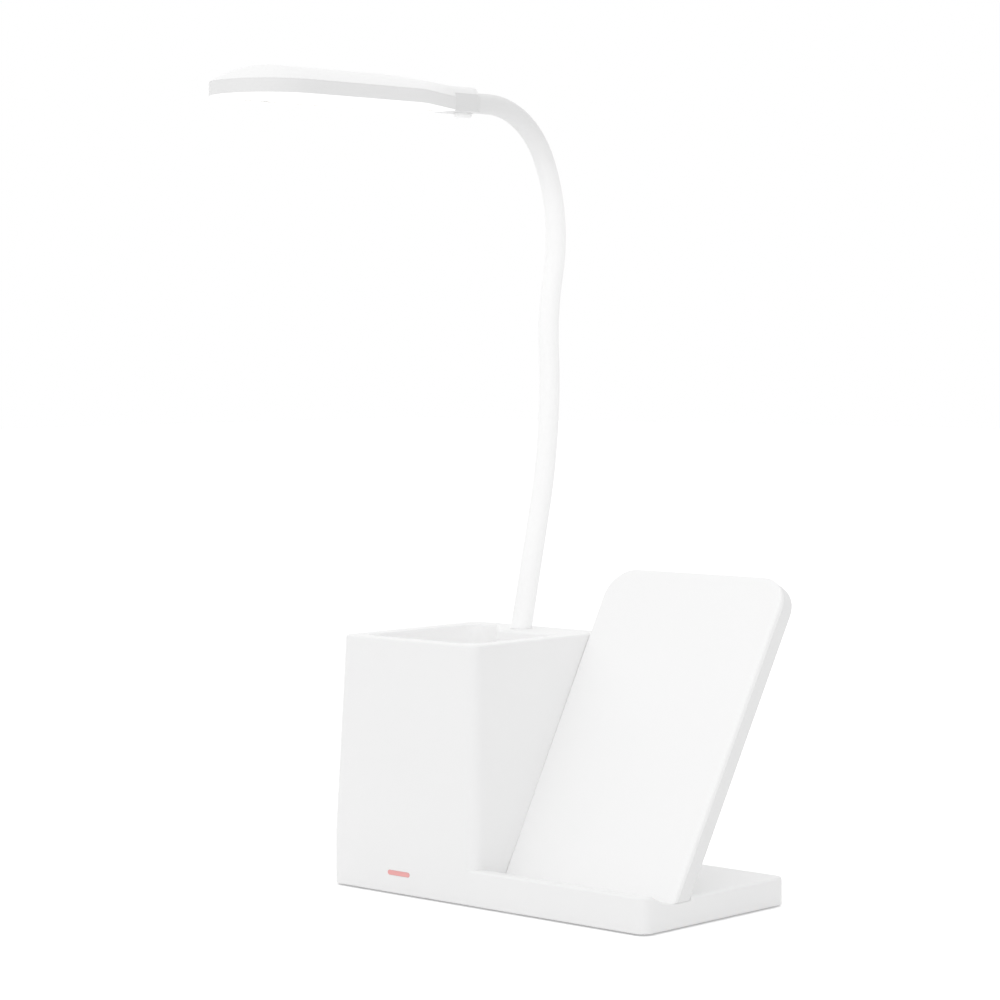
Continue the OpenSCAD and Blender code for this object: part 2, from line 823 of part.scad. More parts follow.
// One run of round stock or tube that starts at the origin, in the YZ plane
module run_stock(run, r, bore = 0) {
    turn = run[2] - run[1];
    if (turn == 0) {
        rotate([-run[1], 0, 0]) linear_extrude(run[0]) ring(r, bore);
    } else {
        bend_r = run[0] * 180 / (PI * abs(turn));
        side = turn > 0 ? 1 : -1;
        from = turn > 0 ? 180 - run[2] : -run[1];
        translate([0, side * bend_r * cos(run[1]), -side * bend_r * sin(run[1])])
            rotate([90, 0, 90]) rotate([0, 0, from])
                rotate_extrude(angle = abs(turn)) translate([bend_r, 0]) ring(r, bore);
    }
}

module at_pivot(i) {
    at = pivot_at(i);
    translate([neck_x, at[0], at[1]]) children();
}

// Silicone sleeve of one stretch: a ball at its lower end, a cup at its upper end
module neck_sleeve(i) {
    color("white") at_pivot(i) difference() {
        union() {
            run_stock(neck_runs[i], neck_r);
            sphere(ball_r);
        }
        run_stock(shorter(neck_runs[i], cup_r / 2), sleeve_bore_r);
        end = run_step(neck_runs[i]);
        translate([0, end[0], end[1]]) sphere(cup_r);
    }
}

// Spiral steel core of one stretch
module neck_core(i) {
    color("silver") at_pivot(i)
        run_stock(shorter(neck_runs[i], core_short), core_r, core_bore_r);
}

// The lead inside one stretch
module neck_lead(i) {
    color("firebrick") at_pivot(i)
        run_stock(shorter(neck_runs[i], core_short), neck_lead_r);
}

// Turning socket of the neck: a cup for the lowest ball above, a thread below
module neck_ferrule() {
    color("white") difference() {
        translate([neck_x, neck_y, 0]) {
            translate([0, 0, boss_z - ferrule_thread])
                cylinder(r = ferrule_r, h = boss_len + ferrule_thread - 0.1);
            translate([0, 0, boss_z]) cylinder(r = ferrule_top_r, h = tower_h - boss_z);
        }
        translate([neck_x, neck_y, boss_z - ferrule_thread - CUT])
            cylinder(r = ferrule_bore_r, h = boss_len + ferrule_thread + rim_t + 2 * CUT);
        at_pivot(0) sphere(cup_r);
    }
}

module ferrule_nut() {
    color("silver") translate([neck_x, neck_y, boss_z - 0.2 - nut_h]) difference() {
        cylinder(r = nut_r, h = nut_h, $fn = 6);
        translate([0, 0, -CUT]) cylinder(r = ferrule_r + 0.03, h = nut_h + 2 * CUT);
    }
}

// ---------------------------------------------------------------- light head

// Outline of the head seen from above, drawn in by a distance: a round tip, straight
// sides and a flare that narrows to the collar
module head_plan(inset) {
    r = head_r - inset;
    end_w = collar_w / 2 - min(inset, collar_w / 2 - 2.5);
    end_u = collar_end + inset;
    touch = atan2(end_u - wide_u, end_w) + acos(r / norm([end_w, end_u - wide_u]));
    mirror([0, 1]) polygon([
        [end_w, end_u], each arc([0, wide_u], r, touch, 0), each arc([0, tip_u], r, 0, 180),
        each arc([0, wide_u], r, 180, 180 - touch), [-end_w, end_u],
    ]);
}

// Layers of the dome, drawn in by a distance and standing on a level
module dome_layers(inset, from) {
    // Share of the rise, and how far the outline has drawn in there
    steps = [[0, 0], [0.4, 0.7], [0.7, 2.6], [0.9, 6], [1, 11]];
    for (s = steps)
        translate([0, 0, s[0] == 0 ? from : bezel_top + s[0] * (dome_rise - inset)])
            linear_extrude(LAYER) head_plan(inset + s[1], $fn = LOFT_FN);
}

// The collar seen from above, drawn in by a distance: square at the head, round at the neck
module collar_plan(inset) {
    r = collar_w / 2 - inset;
    translate([0, -collar_reach - collar_w / 2]) circle(r);
    translate([-r, -collar_end]) square([2 * r, collar_len - collar_w / 2]);
}

// Outside of the top shell, with a tail that reaches back over the collar
module dome_form() {
    hull() {
        dome_layers(0, bezel_top);
        translate([0, 0, bezel_top]) {
            linear_extrude(collar_top - bezel_top) collar_plan(0, $fn = LOFT_FN);
            linear_extrude(tail_top - bezel_top) collar_plan(tail_chamfer, $fn = LOFT_FN);
        }
    }
}

module head_screw_places() {
    for (x = [-1, 1]) translate([x * head_screw_dx, -head_screw_u]) children();
}

module board_screw_places() {
    for (u = board_screw_u) translate([0, -u]) children();
}

module head_top_shell() {
    color("white") at_head() difference() {
        union() {
            difference() {
                dome_form();
                hull() dome_layers(dome_t, bezel_top - CUT);
                translate([-collar_w, -collar_end, bezel_top - CUT])
                    cube([2 * collar_w, collar_end, collar_top - bezel_top + CUT]);
            }
            head_screw_places() translate([0, 0, bezel_top])
                cylinder(r = small_boss_r, h = dome_rise * 0.5);
            board_screw_places() translate([0, 0, led_board_top])
                cylinder(r = small_boss_r, h = dome_top - dome_t - led_board_top + 0.5);
            translate([0, -collar_screw_u, tongue_z + tongue_t])
                cylinder(r = small_boss_r, h = collar_boss_h);
        }
        head_screw_places() translate([0, 0, bezel_top - CUT])
            cylinder(r = small_pilot_r, h = 2 + CUT);
        board_screw_places() translate([0, 0, led_board_top - CUT])
            cylinder(r = small_pilot_r, h = 2.5 + CUT);
        translate([0, -collar_screw_u, tongue_z]) cylinder(r = small_pilot_r, h = tongue_t + 2);
    }
}

module head_bezel() {
    color("white") at_head() difference() {
        union() {
            translate([0, 0, bezel_z]) linear_extrude(bezel_h) difference() {
                head_plan(0);
                head_plan(bezel_t);
            }
            translate([0, 0, bezel_z]) linear_extrude(lip_t) difference() {
                head_plan(0);
                head_plan(bezel_t + diffuser_lip);
            }
            translate([0, 0, diffuser_z + diffuser_t + diffuser_gap])
                linear_extrude(bezel_top - diffuser_z - diffuser_t - diffuser_gap) intersection() {
                    head_plan(0);
                    head_screw_places() circle(small_boss_r);
                }
        }
        translate([-tongue_w / 2 - 0.2, -collar_end - bezel_t - CUT, tongue_z - 0.2])
            cube([tongue_w + 0.4, bezel_t + 2 * CUT, bezel_h]);
        head_screw_places() translate([0, 0, bezel_z - CUT])
            cylinder(r = small_screw_r + 0.1, h = bezel_h + 2 * CUT);
        head_screw_places() translate([0, 0, bezel_z - CUT])
            cylinder(r = small_head_r + head_gap, h = bezel_h - 1.6 + CUT);
    }
}

module diffuser() {
    color("ghostwhite") at_head() translate([0, 0, diffuser_z]) difference() {
        linear_extrude(diffuser_t) head_plan(bezel_t + diffuser_gap);
        head_screw_places() translate([0, 0, -CUT])
            cylinder(r = small_head_r + 2 * head_gap, h = diffuser_t + 2 * CUT);
    }
}

module led_board() {
    board_len = led_board_u1 - led_board_u0;
    color("whitesmoke") at_head() difference() {
        translate([0, -(led_board_u0 + led_board_u1) / 2, led_board_z])
            slab(led_board_w, board_len, led_board_t, 4);
        board_screw_places() translate([0, 0, led_board_z - CUT])
            cylinder(r = small_screw_r + 0.1, h = led_board_t + 2 * CUT);
    }
}

// Two rows of light chips below the board
module led_chips() {
    pitch = (led_board_u1 - led_board_u0 - 10) / (led_count - 1);
    color("lightyellow") at_head() for (i = [0 : led_count - 1], x = [-1, 1])
        translate([x * led_board_w / 4 - led_size / 2,
                   -led_board_u0 - 5 - i * pitch - led_size / 2, led_board_z - led_h])
            cube([led_size, led_size, led_h]);
}

module head_screws() {
    color("silver") at_head() {
        head_screw_places() translate([0, 0, bezel_top - 1.6 - small_head_h])
            screw(small_pilot_r - 0.05, small_head_r, small_head_h, 3);
        board_screw_places() translate([0, 0, led_board_z - small_head_h])
            screw(small_pilot_r - 0.05, small_head_r, small_head_h, led_board_t + 2);
    }
}

// Block that joins the neck to the head: a ball at the rear, a tongue into the
// head at the front, and a pocket for the switch and the button
module head_collar() {
    pocket_len = button_len + 2 * (button_flange + pocket_gap);
    pocket_w = button_w + 2 * (button_flange + pocket_gap);
    color("gainsboro") at_head() difference() {
        union() {
            translate([0, 0, collar_z]) linear_extrude(collar_top - collar_z) collar_plan(0);
            rotate([90, 0, 0]) cylinder(r = neck_r, h = collar_reach + neck_r / 2);
            sphere(ball_r);
            translate([-tongue_w / 2, -collar_end - tongue_len, tongue_z])
                cube([tongue_w, tongue_len + 1, tongue_t]);
        }
        translate([0, 0, collar_top]) linear_extrude(neck_r) collar_plan(-tail_gap);
        translate([0, -button_u, collar_z - CUT]) linear_extrude(button_lip + 2 * CUT)
            rotate(90) pill(button_len + 2 * button_gap, button_w + 2 * button_gap);
        translate([0, -button_u, button_in_z]) linear_extrude(collar_top - button_in_z + CUT)
            rotate(90) pill(pocket_len, pocket_w);
        translate([0, -collar_screw_u, tongue_z - CUT]) {
            cylinder(r = small_screw_r + 0.1, h = tongue_t + 2 * CUT);
            cylinder(r = small_head_r + head_gap, h = small_head_h + CUT);
        }
    }
}

module collar_screw() {
    color("silver") at_head() translate([0, -collar_screw_u, tongue_z])
        screw(small_pilot_r - 0.05, small_head_r, small_head_h, tongue_t - small_head_h + 1.5);
}

module dimmer_button() {
    color("gainsboro") at_head() translate([0, -button_u, 0]) {
        translate([0, 0, collar_z - button_proud])
            linear_extrude(button_proud + button_lip + button_flange_t)
                rotate(90) pill(button_len, button_w);
        translate([0, 0, button_in_z]) linear_extrude(button_flange_t) rotate(90)
            pill(button_len + 2 * button_flange, button_w + 2 * button_flange);
    }
}

// Small switch above the button, which hangs from the head's tail
module button_switch() {
    color("dimgray") at_head() translate([0, -button_u, switch_z]) {
        cylinder(r = 1.5, h = collar_top - switch_z);
        translate([-3, -3, 0.6]) cube([6, 6, collar_top - switch_z - 0.6]);
    }
}

body_shell();
cup_liner();
bottom_cover();
non_slip_pad();
ballast_plate();
cover_screws();
ballast_screws();
main_board();
board_parts();
power_inlet();
indicator_window();
indicator_led();
indicator_board();
plate_front();
plate_tray();
charging_coil();
ferrite_sheet();
charger_board();
charger_lead();
plate_screws();
foot_screws();
neck_ferrule();
ferrule_nut();
neck_sleeve(0);  // neck_sleeve_1
neck_sleeve(1);  // neck_sleeve_2
neck_sleeve(2);  // neck_sleeve_3
neck_sleeve(3);  // neck_sleeve_4
neck_sleeve(4);  // neck_sleeve_5
neck_core(0);  // neck_core_1
neck_core(1);  // neck_core_2
neck_core(2);  // neck_core_3
neck_core(3);  // neck_core_4
neck_core(4);  // neck_core_5
neck_lead(0);  // neck_lead_1
neck_lead(1);  // neck_lead_2
neck_lead(2);  // neck_lead_3
neck_lead(3);  // neck_lead_4
neck_lead(4);  // neck_lead_5
head_collar();
head_top_shell();
head_bezel();
diffuser();
led_board();
led_chips();
head_screws();
collar_screw();
dimmer_button();
button_switch();
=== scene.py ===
"""Desk lamp with a pen cup and a leaning phone plate: the shapes and finishes that show.

Lengths are in millimetres until a mesh is made. The frame gives the pivots and the outer boxes.
"""
import json
import math

import bmesh
import bpy
import numpy as np
from mathutils import Matrix, Vector


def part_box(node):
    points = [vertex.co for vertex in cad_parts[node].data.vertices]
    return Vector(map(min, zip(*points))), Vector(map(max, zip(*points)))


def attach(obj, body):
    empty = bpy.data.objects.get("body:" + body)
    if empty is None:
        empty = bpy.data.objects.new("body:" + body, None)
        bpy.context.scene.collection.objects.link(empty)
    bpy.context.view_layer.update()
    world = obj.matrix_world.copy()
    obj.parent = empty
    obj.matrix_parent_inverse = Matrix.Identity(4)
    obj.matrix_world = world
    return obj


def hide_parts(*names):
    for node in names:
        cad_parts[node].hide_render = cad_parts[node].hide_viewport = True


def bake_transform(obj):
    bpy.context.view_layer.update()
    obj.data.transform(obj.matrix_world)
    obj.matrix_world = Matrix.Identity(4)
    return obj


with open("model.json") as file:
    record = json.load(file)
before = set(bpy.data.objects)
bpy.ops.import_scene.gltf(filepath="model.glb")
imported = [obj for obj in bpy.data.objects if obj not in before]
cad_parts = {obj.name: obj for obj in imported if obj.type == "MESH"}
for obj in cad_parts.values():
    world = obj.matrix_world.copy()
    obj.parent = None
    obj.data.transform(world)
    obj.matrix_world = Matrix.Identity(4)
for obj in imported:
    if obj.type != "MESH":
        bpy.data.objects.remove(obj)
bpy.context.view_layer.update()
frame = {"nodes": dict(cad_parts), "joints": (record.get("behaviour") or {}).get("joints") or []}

MM = 0.001
WHITE = (1.0, 1.0, 1.0)
# Points closer than this, in metres, are one point
WELD = 1e-7
# How far a cutter reaches past the faces that it cuts
PAST = 1


def box_mm(node):
    """Lowest and highest corner of a frame node, in millimetres."""
    low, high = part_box(node)
    return np.array(low) / MM, np.array(high) / MM


def pivot_mm(joint):
    """The point that a joint turns about, in millimetres."""
    row = next(j for j in frame["joints"] if j["name"] == joint)
    return np.array(row["pos_m"]) / MM


# ---- base and cup ----
BODY_LOW, BODY_HIGH = box_mm("body_shell")
HALF_W, HALF_D, TOWER_H = BODY_HIGH
PAD_T = BODY_LOW[2]
BASE_TOP = 12.3
LIP_H = 15.6
LIP_D = 5.0
LIP_FOOT_D = 11.5
LEDGE_FRONT_H = 12.4
LEDGE_H = 11.0
SHELL_T = 2.4
CORNER_R = 5.0
TOWER_W = 85.5
TOWER_X = -HALF_W + TOWER_W / 2
TOWER_DRAFT = math.radians(2.1)
TOP_INSET = (TOWER_H - BASE_TOP) * math.tan(TOWER_DRAFT)
# The tower's faces start to lean in at this height, in a soft bend this long
TAPER_FOOT = LIP_H + 1
BEND_LEN = 12.0
FOOT_EDGE = 0.3
LIP_EDGE = 1.1
RIM_EDGE_R = 0.9
# Rounding of the low part's lines, from the front to the back
SIDE_RADII = [0, 1.6, 2.4, 0.6, 0.2, 0.3, 0]
LEDGE_MARGIN = 0.3
LEDGE_RISE_LEN = 0.4

RIM_EDGE_W = 1.4
RIM_T = 2.6
RIM_SEAT = TOWER_H - RIM_T
RIM_GAP = 0.06
RIM_W = 7.0
RIM_TOP_R = 0.15
WELL_R = 7.0
WELL_T = 2.0
WELL_FLOOR = 22.0
WELL_FLOOR_R = 2.6
WELL_EDGE_R = 0.9
BLOCK_D = 17.5
# Distance from the neck's axis to the slanted face of the block that holds it
BLOCK_SLANT = 10.6
BLOCK_R = 6.0
BLOCK_FOOT_R = 3.2
BOSS_R = 8.8
BOSS_LEN = 18

WINDOW_X = TOWER_X - 1.5
WINDOW_Z = 9.4
WINDOW_SIZE = (13.0, 2.0)
WINDOW_GAP = 0.08
INLET_SIZE = (9.0, 3.3)
INLET_GAP = 0.2

# ---- leaning plate ----
PLATE_LEAN = math.radians(31)
PLATE_LEN = 159.5
PLATE_T = 8.9
PLATE_FRONT_T = 2.0
PLATE_WALL = 1.8
PLATE_R = 13.5
PLATE_FOOT_Y = -HALF_D + 11.6
PLATE_GAP = 0.05
PLATE_FOOT_GAP = 0.02
PLATE_EDGE_R = 0.8
PLATE_SOLID_FOOT = 12
PARTING = 0.12

# ---- neck ----
PIVOTS = [
    pivot_mm(name)
    for name in ("foot_bend", "neck_bend_2", "neck_bend_3", "neck_bend_4", "neck_bend_5", "head_tilt")
]
NECK_X = PIVOTS[0][0]
NECK_R = 4.7
NECK_BORE_R = 3.9
NECK_TAPER = 0.3
# The skin's points are about this far apart along the neck
NECK_STEP = 1.6
# The skin starts here, from the lowest pivot, and stops this far short of the collar's bore
NECK_FOOT = -3.7
NECK_TOP_GAP = 0.1
# Spans about each pivot, from and to along the neck. Only their number is read: one length of skin for
# each.
NECK_ZONES = [(-2.6, 9.0)] + [(-18.0, 18.0)] * 4 + [(-11.0, 8.5)]
SOCKET_R = 5.9
SOCKET_GAP = 0.08
SOCKET_FLANGE_R = 6.5
SOCKET_TOP_R = 0.2
SOCKET_BORE_R = 4.95
SOCKET_LEAD_R = 2.6
# The socket's bore along the neck, from and to, measured from the lowest pivot
SOCKET_BORE = (-3.85, 4)

# ---- light head, from the top pivot: u runs towards the tip ----
HEAD_Y, HEAD_Z = PIVOTS[5][1], PIVOTS[5][2]
COLLAR_U = 9.0
COLLAR_LEN = 18.5
COLLAR_END = COLLAR_U + COLLAR_LEN
COLLAR_HALF = 7.0
# The collar's end at the neck is a half round about this point
COLLAR_ROUND_U = COLLAR_U + COLLAR_HALF
NECK_IN_COLLAR = 1.9
HEAD_R = 24.0
# The widest part runs between these, with a half round at the tip
WIDE_U = 68.5
TIP_U = 129.0
BEZEL_LOW = -4.5
BEZEL_TOP = 1.4
BEZEL_T = 2.0
BEZEL_LIP = 1.2
BEZEL_LIP_T = 0.8
BEZEL_EDGE_R = 0.7
BEZEL_TOP_R = 0.12
BEZEL_LIP_EDGE = 0.25
DOME_RISE = 7.1
DOME_T = 1.6
DOME_SKIRT = 0.3
COLLAR_LOW = -4.6
COLLAR_TOP = 3.1
COLLAR_EDGE_R = 0.7
COLLAR_TOP_R = 0.15
TAIL_RISE = 4.9
TAIL_SLANT = 3.4
TAIL_DROP = 0.3
# How boxy the section is over the collar, and how much rounder it gets over this length
TAIL_POWER = 6.0
POWER_DROP = 3.8
POWER_LEN = 30
TONGUE_W = 7.0
TONGUE_LOW = BEZEL_TOP - 2.8
TONGUE_HIGH = BEZEL_TOP - 0.4
BUTTON_SIZE = (8.4, 6.0)
BUTTON_HOLE = (9.0, 6.6)
BUTTON_EDGE_R = 1.1
FLANGE_W = 0.7
FLANGE_HOLE = (10.3, 7.9)
SCREW_R = 1.1
SCREW_HEAD_R = 2.1
PLATE_SCREW_R = 1.2
PLATE_SCREW_SINK = 1.02
HEAD_BOSS_R = 2.4

# ---- camera, in metres and degrees: where it stands, and its turn, its dip and its roll ----
CAMERA_PLACE = (0.84748, -0.94444, 0.23372)
CAMERA_ANGLES = (42.922, 2.943, -0.196)
CAMERA_LENS = 108.0
CAMERA_SENSOR = 36.0

# ---- light from all round: its level, and how it grows towards +X, +Y, +Z and along X times Y ----
LIGHT_LEVEL = 0.85
LIGHT_X = -0.15
LIGHT_Y = -0.05
LIGHT_Z = 0.30
LIGHT_XY = -0.60
LIGHT_MOST = 1.14
FLOOR_HALF = 6.0
FLOOR_GLOW = 0.3


# ---------------------------------------------------------------- outlines and solids

def unit(v):
    return v / np.linalg.norm(v)


def arc(centre, radius, start, end, steps):
    """Points of an arc, both ends included. Angles are in degrees."""
    turn = np.radians(np.linspace(start, end, steps + 1))
    return np.column_stack([centre[0] + radius * np.cos(turn), centre[1] + radius * np.sin(turn)])


def rounded(points, radii, steps=8, closed=True):
    """An outline through the given corners, each one rounded by its own radius."""
    points = [np.array(p, float) for p in points]
    out = []
    for i, (corner, radius) in enumerate(zip(points, radii)):
        if radius == 0 or (not closed and i in (0, len(points) - 1)):
            out.append(corner)
            continue
        back = unit(points[i - 1] - corner)
        ahead = unit(points[(i + 1) % len(points)] - corner)
        half = math.acos(back @ ahead) / 2
        centre = corner + unit(back + ahead) * radius / math.sin(half)
        first = corner + back * radius / math.tan(half) - centre
        last = corner + ahead * radius / math.tan(half) - centre
        side = math.copysign(1, first[0] * last[1] - first[1] * last[0])
        for k in range(steps + 1):
            a = side * (math.pi - 2 * half) * k / steps
            turn = np.array([[math.cos(a), -math.sin(a)], [math.sin(a), math.cos(a)]])
            out.append(centre + turn @ first)
    return np.array(out)


def rectangle(centre, width, depth, radius, steps=8):
    """A rectangle with round corners, anticlockwise."""
    x, y, w, d = centre[0], centre[1], width / 2, depth / 2
    return rounded([(x - w, y - d), (x + w, y - d), (x + w, y + d), (x - w, y + d)], [radius] * 4, steps)


def pill(centre, length, height, steps=16):
    """A long outline with half round ends."""
    half = (length - height) / 2
    return np.concatenate([
        arc((centre[0] + half, centre[1]), height / 2, -90, 90, steps),
        arc((centre[0] - half, centre[1]), height / 2, 90, 270, steps),
    ])


def circle(centre, radius, sides=48):
    return arc(centre, radius, 0, 360, sides)[:-1]


def drawn_in(outline, inset):
    """A closed anticlockwise outline with each side moved inwards."""
    if inset == 0:
        return outline
    ahead = np.roll(outline, -1, 0) - outline
    ahead /= np.linalg.norm(ahead, axis=1, keepdims=True)
    inward = np.column_stack([-ahead[:, 1], ahead[:, 0]])
    before = np.roll(inward, 1, 0)
    return outline + inset * (inward + before) / (1 + (inward * before).sum(1, keepdims=True))


def level(outline, z):
    """An outline laid flat at a height, or at one height for each point."""
    return np.column_stack([outline, np.full(len(outline), z) if np.isscalar(z) else z])


def rounding(radius, steps=6):
    """Steps over a rounded edge, from wall to flat: how far in, and how far below the flat."""
    turns = np.linspace(0, math.pi / 2, steps + 1)
    return [(radius * (1 - math.cos(a)), radius * (1 - math.sin(a))) for a in turns]


def mesh_piece(name, points, faces):
    """An object from points in millimetres, with its faces turned outwards."""
    mesh = bpy.data.meshes.new(name)
    mesh.from_pydata([tuple(p * MM) for p in points], [], faces)
    work = bmesh.new()
    work.from_mesh(mesh)
    bmesh.ops.remove_doubles(work, verts=work.verts, dist=WELD)
    bmesh.ops.recalc_face_normals(work, faces=work.faces)
    work.to_mesh(mesh)
    work.free()
    piece = bpy.data.objects.new(name, mesh)
    bpy.context.scene.collection.objects.link(piece)
    return piece


def loft(name, rings, ends="faces"):
    """Skin over closed rings. Its ends are faces, joined, or strips across a ring alike on both sides."""
    n = len(rings[0])
    spans = len(rings) if ends == "joined" else len(rings) - 1
    faces = []
    for k in range(spans):
        a, b = k * n, (k + 1) % len(rings) * n
        faces += [(a + i, a + (i + 1) % n, b + (i + 1) % n, b + i) for i in range(n)]
    top = spans * n
    if ends == "faces":
        faces += [tuple(range(n))[::-1], tuple(range(top, top + n))]
    if ends == "strips":
        faces.append(tuple(range(n))[::-1])
        for i in range(n // 2 - 1):
            faces.append((top + i, top + i + 1, top + n - 2 - i, top + n - 1 - i))
    return mesh_piece(name, np.concatenate(rings), faces)


def block(name, outline, low, high, low_edge=0.0, high_edge=0.0):
    """Upright solid with rounded lower and upper edges."""
    below = rounding(low_edge)[::-1] if low_edge else [(0, 0)]
    above = rounding(high_edge) if high_edge else [(0, 0)]
    rings = [level(drawn_in(outline, i), low + d) for i, d in below]
    rings += [level(drawn_in(outline, i), high - d) for i, d in above]
    return loft(name, rings)


def rods(name, places, radius, low, high):
    """Upright round rods in one piece."""
    made = [block(name, circle(p, radius, 32), low, high) for p in places]
    return together(made)


def together(pieces):
    """Joins separate pieces into the first one's mesh."""
    work = bmesh.new()
    for piece in pieces:
        work.from_mesh(piece.data)
    work.to_mesh(pieces[0].data)
    work.free()
    for piece in pieces[1:]:
        bpy.data.objects.remove(piece)
    return pieces[0]


def combine(piece, other, how):
    """Cuts or fuses with another piece, which is used up."""
    step = piece.modifiers.new(how, "BOOLEAN")
    step.operation, step.object, step.solver = how, other, "EXACT"
    seen = piece.evaluated_get(bpy.context.evaluated_depsgraph_get())
    mesh = bpy.data.meshes.new_from_object(seen)
    piece.modifiers.clear()
    piece.data = mesh
    bpy.data.objects.remove(other)
    return piece


def cut(piece, tool):
    return combine(piece, tool, "DIFFERENCE")


def fuse(piece, other):
    return combine(piece, other, "UNION")


def placed(piece, matrix):
    """Moves a piece's mesh and leaves the object at the origin."""
    piece.data.transform(matrix)
    return piece


def dress(piece, material, sharp=32):
    """Gives a finished mesh its material and smooth shading between its real edges."""
    work = bmesh.new()
    work.from_mesh(piece.data)
    bmesh.ops.remove_doubles(work, verts=work.verts, dist=2 * WELD)
    bmesh.ops.dissolve_degenerate(work, edges=work.edges, dist=WELD)
    work.to_mesh(piece.data)
    work.free()
    piece.data.shade_smooth()
    piece.data.set_sharp_from_angle(angle=math.radians(sharp))
    weighted = piece.modifiers.new("even shading", "WEIGHTED_NORMAL")
    weighted.keep_sharp = True
    piece.data.materials.clear()
    piece.data.materials.append(material)
    return piece


# ---------------------------------------------------------------- materials

def group(name, inputs, outputs):
    """A new node group: its inputs with their defaults, and its outputs with their kinds."""
    tree = bpy.data.node_groups.new(name, "ShaderNodeTree")
    for label, value in inputs.items():
        kind = "NodeSocketColor" if isinstance(value, tuple) else "NodeSocketFloat"
        tree.interface.new_socket(label, in_out="INPUT", socket_type=kind).default_value = value
    for label, kind in outputs.items():
        tree.interface.new_socket(label, in_out="OUTPUT", socket_type=kind)
    return tree, tree.nodes.new("NodeGroupInput"), tree.nodes.new("NodeGroupOutput")


def node(tree, kind, inputs=None, **settings):
    """Adds a node; an input is a value or another node's output."""
    made = tree.nodes.new(kind)
    for key, value in settings.items():
        setattr(made, key, value)
    for key, value in (inputs or {}).items():
        if isinstance(value, bpy.types.NodeSocket):
            tree.links.new(value, made.inputs[key])
        else:
            made.inputs[key].default_value = value
    return made


def math_node(tree, operation, a, b=0.0, clamp=False):
    """The result of one sum on two numbers or outputs."""
    return node(tree, "ShaderNodeMath", {0: a, 1: b}, operation=operation, use_clamp=clamp).outputs[0]


def moulded_surface():
    """Moulded plastic: a fine spark texture, slow drifts of tone, and gloss that varies with both."""
    tree, given, out = group(
        "moulded surface",
        {"Colour": (0.9, 0.9, 0.9, 1.0), "Shade": 0.02, "Grain": 2500.0,
         "Roughness": 0.5, "Unevenness": 0.08},
        {"Colour": "NodeSocketColor", "Roughness": "NodeSocketFloat", "Height": "NodeSocketFloat"},
    )
    place = node(tree, "ShaderNodeTexCoord").outputs["Object"]
    grain = node(tree, "ShaderNodeTexNoise",
                 {"Vector": place, "Scale": given.outputs["Grain"], "Detail": 3.0}).outputs["Fac"]
    drift = node(tree, "ShaderNodeTexNoise",
                 {"Vector": place, "Scale": 22.0, "Detail": 2.0}).outputs["Fac"]
    specks = node(tree, "ShaderNodeTexVoronoi", {"Vector": place, "Scale": given.outputs["Grain"]})
    mixed = math_node(tree, "ADD", math_node(tree, "MULTIPLY", grain, 0.4),
                      math_node(tree, "MULTIPLY", drift, 0.6))
    centred = math_node(tree, "SUBTRACT", mixed, 0.5)
    tone = math_node(tree, "ADD", math_node(tree, "MULTIPLY", centred, given.outputs["Shade"]), 1.0)
    coloured = node(tree, "ShaderNodeVectorMath", {0: given.outputs["Colour"]}, operation="SCALE")
    tree.links.new(tone, coloured.inputs["Scale"])
    gloss = math_node(tree, "ADD", given.outputs["Roughness"],
                      math_node(tree, "MULTIPLY", centred, given.outputs["Unevenness"]), clamp=True)
    height = math_node(tree, "ADD", grain, math_node(tree, "MULTIPLY", specks.outputs["Distance"], 0.5))
    tree.links.new(coloured.outputs[0], out.inputs["Colour"])
    tree.links.new(gloss, out.inputs["Roughness"])
    tree.links.new(height, out.inputs["Height"])
    return tree


def rubbed_edges():
    """A mask that is strong along outer edges, broken up where hands don't reach."""
    tree, given, out = group(
        "rubbed edges",
        {"Width": 0.0006, "Strength": 0.5, "Patches": 90.0},
        {"Mask": "NodeSocketFloat"},
    )
    place = node(tree, "ShaderNodeTexCoord").outputs["Object"]
    soft = node(tree, "ShaderNodeBevel", {"Radius": given.outputs["Width"]}, samples=4).outputs[0]
    sharp = node(tree, "ShaderNodeNewGeometry").outputs["Normal"]
    facing = node(tree, "ShaderNodeVectorMath", {0: soft, 1: sharp},
                  operation="DOT_PRODUCT").outputs["Value"]
    edge = math_node(tree, "MULTIPLY", math_node(tree, "SUBTRACT", 1.0, facing), 6.0, clamp=True)
    patches = node(tree, "ShaderNodeTexNoise",
                   {"Vector": place, "Scale": given.outputs["Patches"]}).outputs["Fac"]
    mask = math_node(tree, "MULTIPLY", edge, patches)
    mask = math_node(tree, "MULTIPLY", mask, given.outputs["Strength"], clamp=True)
    tree.links.new(mask, out.inputs["Mask"])
    return tree


def facing_masks():
    """Masks of the faces that look down and of the upright ones, in the piece's own frame; painted glow
    keeps to them.
    """
    tree, _, out = group("facing masks", {}, {"Down": "NodeSocketFloat", "Upright": "NodeSocketFloat"})
    normal = node(tree, "ShaderNodeTexCoord").outputs["Normal"]
    up = node(tree, "ShaderNodeSeparateXYZ", {0: normal}).outputs["Z"]
    down = math_node(tree, "MULTIPLY", math_node(tree, "ADD", up, 0.3), -1.6, clamp=True)
    upright = math_node(tree, "SUBTRACT", 1.0, math_node(tree, "ABSOLUTE", up), clamp=True)
    tree.links.new(down, out.inputs["Down"])
    tree.links.new(upright, out.inputs["Upright"])
    return tree


